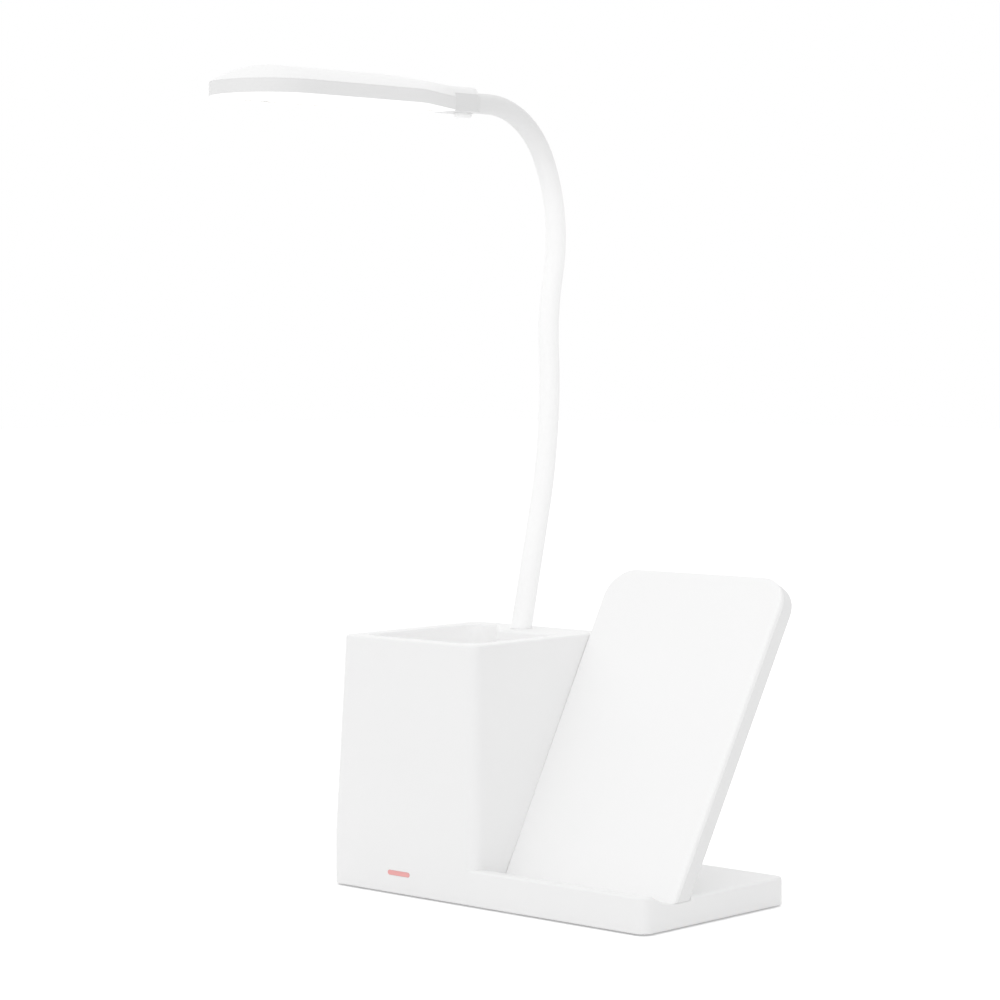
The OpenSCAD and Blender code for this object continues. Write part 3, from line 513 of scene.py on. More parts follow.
def painted_shade_with_height():
    """Painted shade: a tone that drops smoothly from 1 between two heights."""
    tree, given, out = group(
        "painted shade with height", {"Start": 0.0, "End": 1.0, "Depth": 0.0}, {"Tone": "NodeSocketFloat"})
    place = node(tree, "ShaderNodeTexCoord").outputs["Object"]
    height = node(tree, "ShaderNodeSeparateXYZ", {0: place}).outputs["Z"]
    share = node(
        tree, "ShaderNodeMapRange",
        {"Value": height, "From Min": given.outputs["Start"], "From Max": given.outputs["End"]},
        interpolation_type="SMOOTHSTEP",
    ).outputs["Result"]
    drop = math_node(tree, "MULTIPLY", share, given.outputs["Depth"])
    tree.links.new(math_node(tree, "SUBTRACT", 1.0, drop), out.inputs["Tone"])
    return tree


# Rubbed places are lighter by this share and smoother by this much
WORN_LIGHTER = 1.03
WORN_GLOSS = -0.25
BUMP_STRENGTH = 0.6
MOULDED = moulded_surface()
RUBBED = rubbed_edges()
FACING = facing_masks()
PAINTED_SHADE = painted_shade_with_height()


def placed_group(tree, kind, values):
    """A shader node group placed in a material with its own values."""
    made = node(tree, "ShaderNodeGroup", node_tree=kind)
    for label, value in values.items():
        made.inputs[label].default_value = value
    return made


def scaled(tree, colour, share):
    """A colour times a share that changes over the surface."""
    return node(tree, "ShaderNodeVectorMath", {0: colour, "Scale": share}, operation="SCALE").outputs[0]


def finish(name, colour, roughness, grain=2500.0, depth=0.000003, shade=0.02, unevenness=0.08,
           worn=None, worn_strength=0.4, metallic=0.0, coat=0.0, emission=None, emission_strength=0.0,
           glowing=None, subsurface=0.0, toned=None, specular=0.5):
    """A material of the moulded surface with rubbed edges.

    On a part that is no lamp, the emission is painted light, which may keep to the faces of one mask; a
    drop in tone, given by its start, end and depth, is painted shade.
    """
    material = bpy.data.materials.new(name)
    material.use_nodes = True
    tree = material.node_tree
    shader = tree.nodes["Principled BSDF"]
    surface = placed_group(tree, MOULDED, {
        "Colour": (*colour, 1.0), "Shade": shade, "Grain": grain,
        "Roughness": roughness, "Unevenness": unevenness})
    edges = placed_group(tree, RUBBED, {"Strength": worn_strength})
    tint = node(tree, "ShaderNodeMix", {"Factor": edges.outputs["Mask"]}, data_type="RGBA")
    tree.links.new(surface.outputs["Colour"], tint.inputs["A"])
    tint.inputs["B"].default_value = (*(worn or [min(1.0, c * WORN_LIGHTER) for c in colour]), 1.0)
    base = tint.outputs["Result"]
    # painted shade: the colour darkens between two heights
    if toned:
        tone = placed_group(tree, PAINTED_SHADE, dict(zip(("Start", "End", "Depth"), toned)))
        base = scaled(tree, base, tone.outputs["Tone"])
    gloss = node(tree, "ShaderNodeMath",
                 {0: edges.outputs["Mask"], 1: WORN_GLOSS, 2: surface.outputs["Roughness"]},
                 operation="MULTIPLY_ADD", use_clamp=True)
    bump = node(tree, "ShaderNodeBump",
                {"Height": surface.outputs["Height"], "Distance": depth, "Strength": BUMP_STRENGTH})
    tree.links.new(base, shader.inputs["Base Color"])
    tree.links.new(gloss.outputs[0], shader.inputs["Roughness"])
    tree.links.new(bump.outputs[0], shader.inputs["Normal"])
    shader.inputs["Metallic"].default_value = metallic
    shader.inputs["Coat Weight"].default_value = coat
    shader.inputs["Specular IOR Level"].default_value = specular
    shader.inputs["Subsurface Weight"].default_value = subsurface
    if emission:
        shader.inputs["Emission Color"].default_value = (*emission, 1.0)
        shader.inputs["Emission Strength"].default_value = emission_strength
    # painted light: the glow keeps to the faces of one mask
    if glowing:
        masks = node(tree, "ShaderNodeGroup", node_tree=FACING)
        tree.links.new(scaled(tree, emission, masks.outputs[glowing]), shader.inputs["Emission Color"])
    return material


def white(name, tone, roughness, **more):
    """A finish of one pale grey."""
    return finish(name, (tone, tone, tone), roughness, **more)


def make_finishes():
    """Every finish, by the record's slot."""
    return {
        "housing": white("satin white housing", 0.895, 0.42),
        # painted light: the liner's upright faces glow, to lighten the walls of the well
        "liner": white("satin white liner with painted glow", 0.90, 0.46,
                       emission=WHITE, emission_strength=0.10, glowing="Upright"),
        "cover": finish("matt grey underside", (0.62, 0.62, 0.61), 0.6,
                        grain=1500.0, depth=0.00001, shade=0.08),
        "pad": finish("charcoal rubber", (0.035, 0.035, 0.037), 0.82,
                      grain=900.0, depth=0.00003, shade=0.3),
        "steel": finish("plated steel", (0.55, 0.55, 0.56), 0.3,
                        grain=1800.0, metallic=1.0, shade=0.1, worn=(0.8, 0.8, 0.8)),
        "board": finish("green circuit board", (0.02, 0.16, 0.06), 0.35,
                        grain=700.0, shade=0.5, coat=0.4),
        "chip": finish("black chip resin", (0.02, 0.02, 0.022), 0.45, shade=0.3),
        "socket": finish("nickel socket", (0.62, 0.61, 0.59), 0.24, metallic=1.0, shade=0.08),
        "indicator": finish("lit coral window", (0.78, 0.36, 0.35), 0.32, shade=0.06, coat=0.3,
                            emission=(0.80, 0.30, 0.29), emission_strength=0.08),
        "indicator_led": finish("coral light chips", (0.9, 0.6, 0.5), 0.4,
                                emission=(1.0, 0.35, 0.25), emission_strength=1.5),
        "plate": white("satin white plate face", 0.935, 0.4),
        # painted shade: the plate's back and sides are a darker copy of the face's white, for the shade
        # on its side
        "tray": white("satin white plate back, painted shade", 0.85, 0.45),
        "coil": finish("wound copper", (0.72, 0.33, 0.16), 0.35,
                       grain=1200.0, metallic=1.0, depth=0.00004, shade=0.35),
        "ferrite": finish("dark ferrite", (0.04, 0.042, 0.046), 0.6, shade=0.3),
        "lead": finish("dark lead jacket", (0.05, 0.05, 0.055), 0.55, shade=0.2),
        # painted light and shade: the sleeve glows a little, and darkens towards the head
        "sleeve": white("soft white sleeve, painted glow and shade", 0.95, 0.58, grain=1800.0,
                        emission=WHITE, emission_strength=0.04, toned=(0.288, 0.345, 0.2)),
        "ferrule": white("satin white socket", 0.93, 0.45),
        "core": white("spring steel core", 0.5, 0.35, metallic=1.0, shade=0.2),
        "neck_lead": finish("red lead jacket", (0.45, 0.04, 0.03), 0.5, shade=0.2),
        "collar": white("light grey collar", 0.78, 0.42),
        "head": white("satin white head", 0.93, 0.4),
        # painted light: the rim's faces that look down glow, as if lit by the diffuser
        "bezel": white("satin white rim, painted glow below", 0.85, 0.42, specular=0.15,
                       emission=WHITE, emission_strength=0.5, glowing="Down"),
        "diffuser": finish("frosted lit diffuser", (0.93, 0.93, 0.92), 0.5,
                           grain=1400.0, depth=0.000006, subsurface=0.1,
                           emission=(1.0, 0.98, 0.94), emission_strength=0.55),
        "led_board": finish("white light board", (0.8, 0.8, 0.78), 0.4, shade=0.1, coat=0.2),
        "led": finish("pale yellow light chips", (0.85, 0.78, 0.35), 0.35,
                      emission=(1.0, 0.95, 0.8), emission_strength=2.0),
        # painted light: the button glows a little, to lighten it under the collar
        "button": white("light grey button, painted glow", 0.92, 0.44, emission=WHITE, emission_strength=0.06),
    }


# ---------------------------------------------------------------- base

def tower_inset(z):
    """How far the tower's faces have drawn in at a height."""
    over = z - TAPER_FOOT
    slope = TOP_INSET / (TOWER_H - TAPER_FOOT - BEND_LEN / 2)
    if over <= 0:
        return 0.0
    if over < BEND_LEN:
        return slope * over ** 2 / (2 * BEND_LEN)
    return slope * (over - BEND_LEN / 2)


def side_profile():
    """Height of the low part right of the tower, front to back: lip, slope, ledge and flat top."""
    plate_depth = PLATE_T / math.cos(PLATE_LEAN)
    back_y = PLATE_FOOT_Y + plate_depth + BASE_TOP * math.tan(PLATE_LEAN) + LEDGE_MARGIN
    foot_y = PLATE_FOOT_Y + LEDGE_H * math.tan(PLATE_LEAN) - LEDGE_MARGIN
    corners = [
        (-HALF_D, LIP_H), (-HALF_D + LIP_D, LIP_H), (-HALF_D + LIP_FOOT_D, LEDGE_FRONT_H),
        (foot_y, LEDGE_H), (back_y - LEDGE_RISE_LEN, LEDGE_H), (back_y, BASE_TOP), (HALF_D, BASE_TOP),
    ]
    return rounded(corners, SIDE_RADII, steps=5, closed=False)


def low_height(y):
    """Height of the low part at a depth."""
    profile = side_profile()
    return np.interp(y, profile[:, 0], profile[:, 1])


def tower_side_x(y):
    """Where the tower's right side is at a depth, with its round corners."""
    over = np.maximum(np.abs(y) - (HALF_D - CORNER_R), 0)
    return TOWER_X + TOWER_W / 2 - CORNER_R + np.sqrt(np.maximum(CORNER_R ** 2 - over ** 2, 0))


def tower_ring(foot, draft, rounded_by=0.0):
    """The tower's outline higher up, from points round its foot: drawn in, its corners as round."""
    middle = np.array([TOWER_X, 0.0])
    half = np.array([TOWER_W / 2 - CORNER_R, HALF_D - CORNER_R])
    core = np.clip(foot - middle, -half, half)
    return middle + core * (half - draft) / half + (foot - middle - core) * (1 - rounded_by / CORNER_R)


def low_chain(inset, drop):
    """The low part's outline from the tower's front round the right to its back, in and down."""
    profile = side_profile()
    x, y, r = HALF_W - CORNER_R, HALF_D - CORNER_R, CORNER_R - inset
    side = profile[np.abs(profile[:, 0]) < y - 0.01, 0]
    chain = np.concatenate([
        arc((x, -y), r, -90, 0, 8), np.column_stack([np.full(len(side), HALF_W - inset), side]),
        arc((x, y), r, 0, 90, 8)])
    ends = np.array([-HALF_D + inset, HALF_D - inset])
    ends = np.column_stack([tower_side_x(ends), ends])
    chain = np.concatenate([ends[:1], chain, ends[1:]])
    return level(chain, low_height(chain[:, 1]) - drop)


def build_outer_skin():
    """The housing's outer skin as one closed mesh: the low part and the tower that rises from it."""
    chains = [low_chain(i, d) for i, d in rounding(LIP_EDGE)]
    x, y = TOWER_X - TOWER_W / 2 + CORNER_R, HALF_D - CORNER_R
    left = np.concatenate([arc((x, y), CORNER_R, 90, 180, 8), arc((x, -y), CORNER_R, 180, 270, 8)])
    wall_top = np.interp(left[:, 1], [-HALF_D, HALF_D], [chains[0][0, 2], chains[0][-1, 2]])
    left = level(left, wall_top)
    inner = chains[-1][3:-3].copy()
    inner[:, 0] = tower_side_x(inner[:, 1])
    foot = np.concatenate([[c[0] for c in chains], inner, [c[-1] for c in chains[::-1]]])
    base = np.concatenate([chains[0], left])
    points, faces = [], []

    def add(ring):
        start = sum(len(p) for p in points)
        points.append(ring)
        return list(range(start, start + len(ring)))

    def span(a, b, closed):
        """Faces between two runs of points that have the same count."""
        count = len(a) if closed else len(a) - 1
        for i in range(count):
            j = (i + 1) % len(a)
            faces.append((a[i], a[j], b[j], b[i]))

    rings = [add(level(drawn_in(base[:, :2], i), PAD_T + d)) for i, d in reversed(rounding(FOOT_EDGE))]
    faces.append(tuple(rings[0])[::-1])
    rings.append(add(base))
    for a, b in zip(rings, rings[1:]):
        span(a, b, True)
    runs = [rings[-1][:len(chains[0])]] + [add(c) for c in chains[1:]]
    for a, b in zip(runs, runs[1:]):
        span(a, b, False)
    inside = add(inner)
    top = runs[-1]
    left_side = [top[0], *inside, top[-1]]
    right_side = [top[1], *top[3:-3], top[-2]]
    strips = list(zip(left_side, right_side))
    faces.append((top[0], top[1], top[2], top[3], inside[0]))
    for (a, b), (c, d) in zip(strips[1:], strips[2:-1]):
        faces.append((a, b, d, c))
    faces.append((inside[-1], top[-4], top[-3], top[-2], top[-1]))
    foot_run = [r[0] for r in runs] + inside + [r[-1] for r in runs[::-1]]
    foot_run += rings[-1][len(chains[0]):]
    tower = np.concatenate([foot, left])[:, :2]
    bend = [TAPER_FOOT + BEND_LEN * k / 8 for k in range(9)]
    levels = [(tower_inset(z), 0.0, z) for z in bend]
    levels += [(tower_inset(TOWER_H - d), i, TOWER_H - d) for i, d in rounding(RIM_EDGE_R)]
    before = foot_run
    for draft, inset, z in levels:
        ring = add(level(tower_ring(tower, draft, inset), z))
        span(before, ring, True)
        before = ring
    faces.append(tuple(before))
    return mesh_piece("housing", np.concatenate(points), faces)


def tower_rings(inset, levels):
    """The tower's outline at each height, drawn in by a wall."""
    outline = rectangle((TOWER_X, 0), TOWER_W, 2 * HALF_D, CORNER_R)
    return [level(tower_ring(outline, tower_inset(z), inset), z) for z in levels]


def upright_to_side(x, z, y):
    """Turns a solid drawn upright so that it lies along Y, with its outline at x, z."""
    return Matrix.Translation(Vector((x, y, z)) * MM) @ Matrix.Rotation(math.radians(90), 4, "X")


def side_slot(x, z, y, size, gap):
    """A cutter for a slot with round ends in an upright wall: from y towards the front."""
    outline = pill((0, 0), size[0] + 2 * gap, size[1] + 2 * gap)
    return placed(block("cutter", outline, 0, SHELL_T + 2 * PAST), upright_to_side(x, z, y))


def build_housing():
    """The housing: hollow from below and from the cup, with slots for the window and the inlet."""
    housing = build_outer_skin()
    inner = rectangle((0, 0), 2 * (HALF_W - SHELL_T), 2 * (HALF_D - SHELL_T), CORNER_R - SHELL_T)
    cut(housing, block("cutter", inner, PAD_T - PAST, LEDGE_H - SHELL_T))
    levels = [LEDGE_H - SHELL_T - PAST] + [TAPER_FOOT + BEND_LEN * k / 4 for k in range(5)]
    edge = TOP_INSET + RIM_EDGE_W
    rim = rectangle((TOWER_X, 0), TOWER_W - 2 * edge, 2 * (HALF_D - edge), CORNER_R - RIM_EDGE_W)
    hollow = tower_rings(SHELL_T + 0.1, levels + [RIM_SEAT])
    hollow += [level(rim, RIM_SEAT), level(rim, TOWER_H + PAST)]
    cut(housing, loft("cutter", hollow))
    cut(housing, side_slot(WINDOW_X, WINDOW_Z, -HALF_D + SHELL_T + PAST, WINDOW_SIZE, WINDOW_GAP))
    low, high = box_mm("power_inlet")
    middle = (low + high) / 2
    cut(housing, side_slot(middle[0], middle[2], HALF_D + PAST, INLET_SIZE, INLET_GAP))
    return housing


# ---------------------------------------------------------------- cup liner

def well_outline():
    """The well seen from above: a rounded rectangle less the corner block that holds the neck."""
    half_w = TOWER_W / 2 - TOP_INSET - RIM_W
    half_d = HALF_D - TOP_INSET - RIM_W
    front = half_d - BLOCK_D
    slant = NECK_X - TOWER_X + PIVOTS[0][1] - math.sqrt(2) * BLOCK_SLANT
    corners = [(-half_w, -half_d), (half_w, -half_d), (half_w, front), (slant - front, front),
               (slant - half_d, half_d), (-half_w, half_d)]
    radii = [WELL_R, WELL_R, BLOCK_FOOT_R, BLOCK_R, BLOCK_FOOT_R, WELL_R]
    return rounded(corners, radii, steps=10) + np.array([TOWER_X, 0])


def build_liner():
    """The cup's lining: a rim, a well with a floor, and the boss that holds the neck's socket."""
    well = well_outline()
    edge = RIM_EDGE_W + RIM_GAP
    inset = TOP_INSET + edge
    rim = rectangle((TOWER_X, 0), TOWER_W - 2 * inset, 2 * (HALF_D - inset), CORNER_R - edge)
    liner = block("cup_lining", rim, RIM_SEAT, TOWER_H, high_edge=RIM_TOP_R)
    fuse(liner, block("wall", drawn_in(well, -WELL_T), WELL_FLOOR - WELL_T, RIM_SEAT + 1))
    boss = PIVOTS[0][:2]
    foot = RIM_SEAT - BOSS_LEN
    fuse(liner, block("boss", circle(boss, BOSS_R), foot, RIM_SEAT + 1))
    hollow = [level(drawn_in(well, i), WELL_FLOOR + d) for i, d in reversed(rounding(WELL_FLOOR_R))]
    hollow += [level(drawn_in(well, -i), TOWER_H - d) for i, d in rounding(WELL_EDGE_R)]
    hollow.append(level(drawn_in(well, -WELL_EDGE_R), TOWER_H + PAST))
    cut(liner, loft("cutter", hollow))
    cut(liner, block("cutter", circle(boss, SOCKET_R + SOCKET_GAP), foot - PAST, TOWER_H + PAST))
    return liner


# ---------------------------------------------------------------- leaning plate

def plate_left():
    """Where the plate's left edge starts at its foot, and its lean along the tower's drafted side."""
    lean = math.atan(math.tan(TOWER_DRAFT) * math.cos(PLATE_LEAN))
    return TOWER_X + TOWER_W / 2 + PLATE_GAP + BASE_TOP * math.tan(TOWER_DRAFT), lean


def plate_outline():
    """The plate on its slope: x across and s up. Its left edge follows the tower's drafted side."""
    start, lean = plate_left()
    top_left = start - PLATE_LEN * math.tan(lean)
    return rounded([(start, 0), (HALF_W, 0), (HALF_W, PLATE_LEN), (top_left, PLATE_LEN)],
                   [0, 0, PLATE_R, PLATE_R], steps=16)


def on_plate():
    """From the plate's own axes to its place on the ledge."""
    return Matrix.Translation(Vector((0, PLATE_FOOT_Y, 0)) * MM) \
        @ Matrix.Rotation(math.pi / 2 - PLATE_LEAN, 4, "X")


def cut_at_ledge(piece):
    """Cuts the plate's foot level, where it stands on the ledge."""
    work = bmesh.new()
    work.from_mesh(piece.data)
    made = bmesh.ops.bisect_plane(
        work, geom=work.verts[:] + work.edges[:] + work.faces[:], dist=WELD,
        plane_co=(0, 0, (LEDGE_H - PLATE_FOOT_GAP) * MM), plane_no=(0, 0, -1), clear_outer=True)
    edges = [e for e in made["geom_cut"] if isinstance(e, bmesh.types.BMEdge)]
    bmesh.ops.contextual_create(work, geom=edges)
    bmesh.ops.recalc_face_normals(work, faces=work.faces)
    work.to_mesh(piece.data)
    work.free()
    return piece


def plate_screw_places():
    """Two screws near the plate's foot, and two further in at its round top corners."""
    start, lean = plate_left()
    low_s = LEDGE_H / math.cos(PLATE_LEAN) + 18
    high_s = PLATE_LEN - 9
    places = []
    for s, from_edge in ((low_s, 8), (high_s, 12)):
        places += [(start + from_edge - s * math.tan(lean), s), (HALF_W - from_edge, s)]
    return places


def build_plate_cover():
    """The plate's face, with a fine parting line at its back."""
    outline = plate_outline()
    rings = [level(drawn_in(outline, PARTING), -PLATE_FRONT_T),
             level(outline, -PLATE_FRONT_T + PARTING)]
    rings += [level(drawn_in(outline, i), -d) for i, d in rounding(PLATE_EDGE_R)]
    return cut_at_ledge(placed(loft("plate_face", rings), on_plate()))


def build_plate_back():
    """The plate's hollow back, with sunk screw holes."""
    outline = plate_outline()
    rings = [level(drawn_in(outline, i), -PLATE_T + d) for i, d in reversed(rounding(PLATE_EDGE_R))]
    rings += [level(outline, -PLATE_FRONT_T - PARTING),
              level(drawn_in(outline, PARTING), -PLATE_FRONT_T)]
    back = loft("plate_back", rings)
    inner = drawn_in(outline, PLATE_WALL)
    inner[:, 1] = np.maximum(inner[:, 1], LEDGE_H / math.cos(PLATE_LEAN) + PLATE_SOLID_FOOT)
    keep = np.append(True, np.linalg.norm(np.diff(inner, axis=0), axis=1) > 1e-6)
    cut(back, block("cutter", inner[keep], -PLATE_T + PLATE_WALL, 0))
    screws = plate_screw_places()
    below = -PLATE_T - PAST
    cut(back, rods("cutter", screws, SCREW_HEAD_R, below, -PLATE_T + PLATE_SCREW_SINK))
    cut(back, rods("cutter", screws, PLATE_SCREW_R, below, -PLATE_T + PLATE_WALL + PAST))
    return cut_at_ledge(placed(back, on_plate()))


# ---------------------------------------------------------------- neck

def neck_route():
    """The neck's centre line through the pivots: start point, start lean, end lean and length."""
    stretches = []
    lean = None
    for a, b in zip(PIVOTS, PIVOTS[1:]):
        chord = (b - a)[1:]
        direction = math.atan2(chord[0], chord[1])
        lean = direction if lean is None else lean
        end = 2 * direction - lean
        half = (end - lean) / 2
        length = np.linalg.norm(chord) * (half / math.sin(half) if abs(half) > 1e-6 else 1.0)
        stretches.append((a[1:], lean, end, length))
        lean = end
    return stretches


ROUTE = neck_route()
STARTS = np.concatenate([[0], np.cumsum([s[3] for s in ROUTE])])


def on_route(s):
    """(y, z) and lean at a distance along the neck from its lowest pivot."""
    if s >= STARTS[-1]:
        lean = ROUTE[-1][2]
        end = PIVOTS[-1][1:] + (s - STARTS[-1]) * np.array([math.sin(lean), math.cos(lean)])
        return end, lean
    k = max(0, int(np.searchsorted(STARTS, s, side="right")) - 1)
    at, lean, end, length = ROUTE[k]
    run = s - STARTS[k]
    now = lean + (end - lean) * max(run, 0) / length
    half = (now - lean) / 2
    reach = run * (math.sin(half) / half if abs(half) > 1e-6 else 1.0)
    middle = (lean + now) / 2
    return at + reach * np.array([math.sin(middle), math.cos(middle)]), now


def neck_ring(s, radius, sides=32):
    """A round section across the neck."""
    (y, z), lean = on_route(s)
    turn = np.linspace(0, 2 * math.pi, sides, endpoint=False)
    across = radius * np.sin(turn)
    return np.column_stack([
        NECK_X + radius * np.cos(turn), y + across * math.cos(lean), z - across * math.sin(lean)])


def neck_radius(s):
    """The neck is a little slimmer towards the head."""
    share = min(max(s / STARTS[-1], 0), 1)
    return NECK_R - NECK_TAPER * share


def build_neck_skin(name, start, end):
    """A length of the neck's soft tube."""
    stations = np.linspace(start, end, max(4, round((end - start) / NECK_STEP)))
    outer = [neck_ring(s, neck_radius(s)) for s in stations]
    inner = [neck_ring(s, NECK_BORE_R) for s in stations[::-1]]
    return loft(name, outer + inner, ends="joined")


def build_neck(material):
    """Six lengths of the smooth skin, one across each bend of the neck."""
    middles = [(a + b) / 2 for a, b in zip(STARTS, STARTS[1:])]
    top = STARTS[-1] + COLLAR_U + NECK_IN_COLLAR - NECK_TOP_GAP
    ends = [NECK_FOOT, *middles, top]
    for k, (before, after) in enumerate(NECK_ZONES):
        skin = dress(build_neck_skin(f"neck_skin_{k + 1}", ends[k], ends[k + 1]), material)
        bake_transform(skin)
        if k > 0:
            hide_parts(f"neck_sleeve_{k}")


def build_socket():
    """The turning socket that the neck stands in, flush with the shelf."""
    foot = box_mm("neck_ferrule")[0][2]
    x, y, z = PIVOTS[0]
    flange_top = RIM_SEAT - 0.1
    rings = [level(circle((x, y), r), h) for r, h in (
        (SOCKET_FLANGE_R, foot), (SOCKET_FLANGE_R, flange_top), (SOCKET_R, flange_top),
        (SOCKET_R, TOWER_H - SOCKET_TOP_R), (SOCKET_R - SOCKET_TOP_R, TOWER_H - 0.02))]
    socket = loft("neck_socket", rings)
    cut(socket, block("cutter", circle((x, y), SOCKET_LEAD_R), foot - PAST, TOWER_H + PAST))
    lean = ROUTE[0][1]
    bore = block("cutter", circle((0, 0), SOCKET_BORE_R), *SOCKET_BORE)
    along_neck = Matrix.Translation(Vector((x, y, z)) * MM) @ Matrix.Rotation(-lean, 4, "X")
    cut(socket, placed(bore, along_neck))
    return socket


# ---------------------------------------------------------------- light head

def at_head(piece):
    """Moves a piece that was drawn round the top pivot, with its tip towards -Y, to its place."""
    return placed(piece, Matrix.Translation(Vector((NECK_X, HEAD_Y, HEAD_Z)) * MM))


def touch_angle():
    """Where the flare meets the round of the widest part, as an angle about its centre."""
    run = COLLAR_END - WIDE_U
    return math.atan2(run, COLLAR_HALF) + math.acos(HEAD_R / math.hypot(COLLAR_HALF, run))


def half_width(u):
    """Half the head's width at a distance: the collar's round, the collar, the flare, the full width."""
    touch = touch_angle()
    touch_x, touch_u = HEAD_R * math.cos(touch), WIDE_U + HEAD_R * math.sin(touch)
    if u < COLLAR_ROUND_U:
        return math.sqrt(max(COLLAR_HALF ** 2 - (COLLAR_ROUND_U - u) ** 2, 0.1))
    if u <= COLLAR_END:
        return COLLAR_HALF
    if u < touch_u:
        return COLLAR_HALF + (touch_x - COLLAR_HALF) * (u - COLLAR_END) / (touch_u - COLLAR_END)
    return math.sqrt(HEAD_R ** 2 - min(0, u - WIDE_U) ** 2)


def head_stations(start):
    """Distances from the top pivot at which the head's width is taken, up to the round of the tip."""
    back = [COLLAR_ROUND_U - (COLLAR_ROUND_U - start) * math.cos(math.radians(9 * k)) for k in range(10)]
    straight = max(start, COLLAR_ROUND_U)
    flare = [straight + (WIDE_U - straight) * k / 40 for k in range(41)]
    return (back if start < COLLAR_ROUND_U else []) + flare + [
        WIDE_U + (TIP_U - WIDE_U) * k / 12 for k in range(1, 13)]


def head_ring(share, start, grown=0.0):
    """The head's outline from above, drawn in to a share of its width, as points of x and u."""
    stations = np.array(head_stations(start))
    side = np.array([(half_width(u) + grown) * share for u in stations])
    tip = arc((0, TIP_U), (HEAD_R + grown) * share, 0, 180, 23)
    return np.concatenate([
        np.column_stack([side, stations])[:-1], tip, np.column_stack([-side, stations])[:-1][::-1]])


def head_outline():
    """The closed outline of the head, anticlockwise, with -Y towards the tip."""
    ring = head_ring(1.0, COLLAR_END)
    return np.column_stack([ring[:, 0], -ring[:, 1]])[::-1]


def ease(x):
    """0 to 1 with soft ends."""
    x = min(max(x, 0.0), 1.0)
    return x * x * (3 - 2 * x)


def dome_rise(u):
    """Height of the head's ridge above the rim."""
    tail = ease((u - COLLAR_END) / (WIDE_U - COLLAR_END))
    end = 1 - TAIL_DROP * max(0.0, 1 - (u - COLLAR_U) / TAIL_SLANT) ** 1.5
    return (TAIL_RISE + (DOME_RISE - TAIL_RISE) * tail) * end


def dome_power(u):
    """How boxy the head's section is: full over the collar, a plain crown further out."""
    return TAIL_POWER - POWER_DROP * ease((u - COLLAR_END) / POWER_LEN)


def build_dome(name, floor, start, thinner=0.0):
    """The head's top as a closed form from a distance on, drawn in on all sides by a thickness."""
    rings = []
    shares = [1.0] + [1 - k / 14 for k in range(14)] + [0.03]
    for k, share in enumerate(shares):
        ring = head_ring(share, start, -thinner)
        along = ring[:, 1]
        if k == 0:
            z = np.full(len(ring), floor)
        else:
            rise = np.array([dome_rise(u) for u in along]) - thinner
            power = np.array([dome_power(u) for u in along])
            z = BEZEL_TOP + np.maximum(rise * (1 - share ** power), 0.0)
        rings.append(np.column_stack([ring[:, 0], -along, z]))
    return loft(name, rings, ends="strips")


def neck_bore():
    """What the neck's end takes out of the collar and of the tail over it."""
    outline = circle((0, 0), neck_radius(STARTS[-1]) + 0.05, 32)
    bore = block("cutter", outline, COLLAR_U - 1.2, COLLAR_U + NECK_IN_COLLAR)
    return placed(bore, Matrix.Rotation(math.radians(90), 4, "X"))


def build_head_top():
    """The domed top: hollow, open below, and carried on over the collar as a thin tail."""
    shell = build_dome("head_top", BEZEL_TOP - DOME_SKIRT, COLLAR_U)
    cut(shell, neck_bore())
    cut(shell, build_dome("cutter", BEZEL_TOP - PAST, COLLAR_END + DOME_T, DOME_T))
    over_collar = rectangle((0, -COLLAR_END / 2), 40, COLLAR_END, 0.5)
    cut(shell, block("cutter", over_collar, BEZEL_TOP - 2, COLLAR_TOP))
    whole_head = rectangle((0, -80), 80, 240, 1)
    cut(shell, block("cutter", whole_head, BEZEL_TOP - 2, BEZEL_TOP))
    return at_head(shell)


def head_screw_places():
    """Two screws near the tip, one at each side."""
    return [(side * (HEAD_R - BEZEL_T - 2.0), -(TIP_U - 18)) for side in (-1, 1)]


def build_rim():
    """The rim round the diffuser, with rounded edges and the lip that holds it."""
    outline = head_outline()
    low, top = BEZEL_LOW, BEZEL_TOP
    lip = BEZEL_T + BEZEL_LIP
    profile = [(i, low + d) for i, d in reversed(rounding(BEZEL_EDGE_R))]
    profile += [(i, top - d) for i, d in rounding(BEZEL_TOP_R)]
    profile += [(BEZEL_T, top), (BEZEL_T, low + BEZEL_LIP_T), (lip, low + BEZEL_LIP_T),
                (lip, low + BEZEL_LIP_EDGE), (lip - BEZEL_LIP_EDGE, low)]
    rim = loft("head_rim", [level(drawn_in(outline, i), z) for i, z in profile], ends="joined")
    screws = head_screw_places()
    fuse(rim, rods("boss", screws, HEAD_BOSS_R, low + 2.75, top - 0.05))
    cut(rim, rods("cutter", screws, SCREW_HEAD_R, low + 1.5, top - 1.6))
    cut(rim, rods("cutter", screws, SCREW_R, low + 1.5, top + PAST))
    slot = rectangle((0, -COLLAR_END), TONGUE_W + 0.4, 6.5, 0.3)
    cut(rim, block("cutter", slot, top - 3, top + PAST))
    return at_head(rim)


def across_head(outline):
    """Turns the button's outline along the collar and moves it to the round of the collar's end."""
    return outline @ np.array([[0, 1], [-1, 0]]) + np.array([0, -COLLAR_ROUND_U])


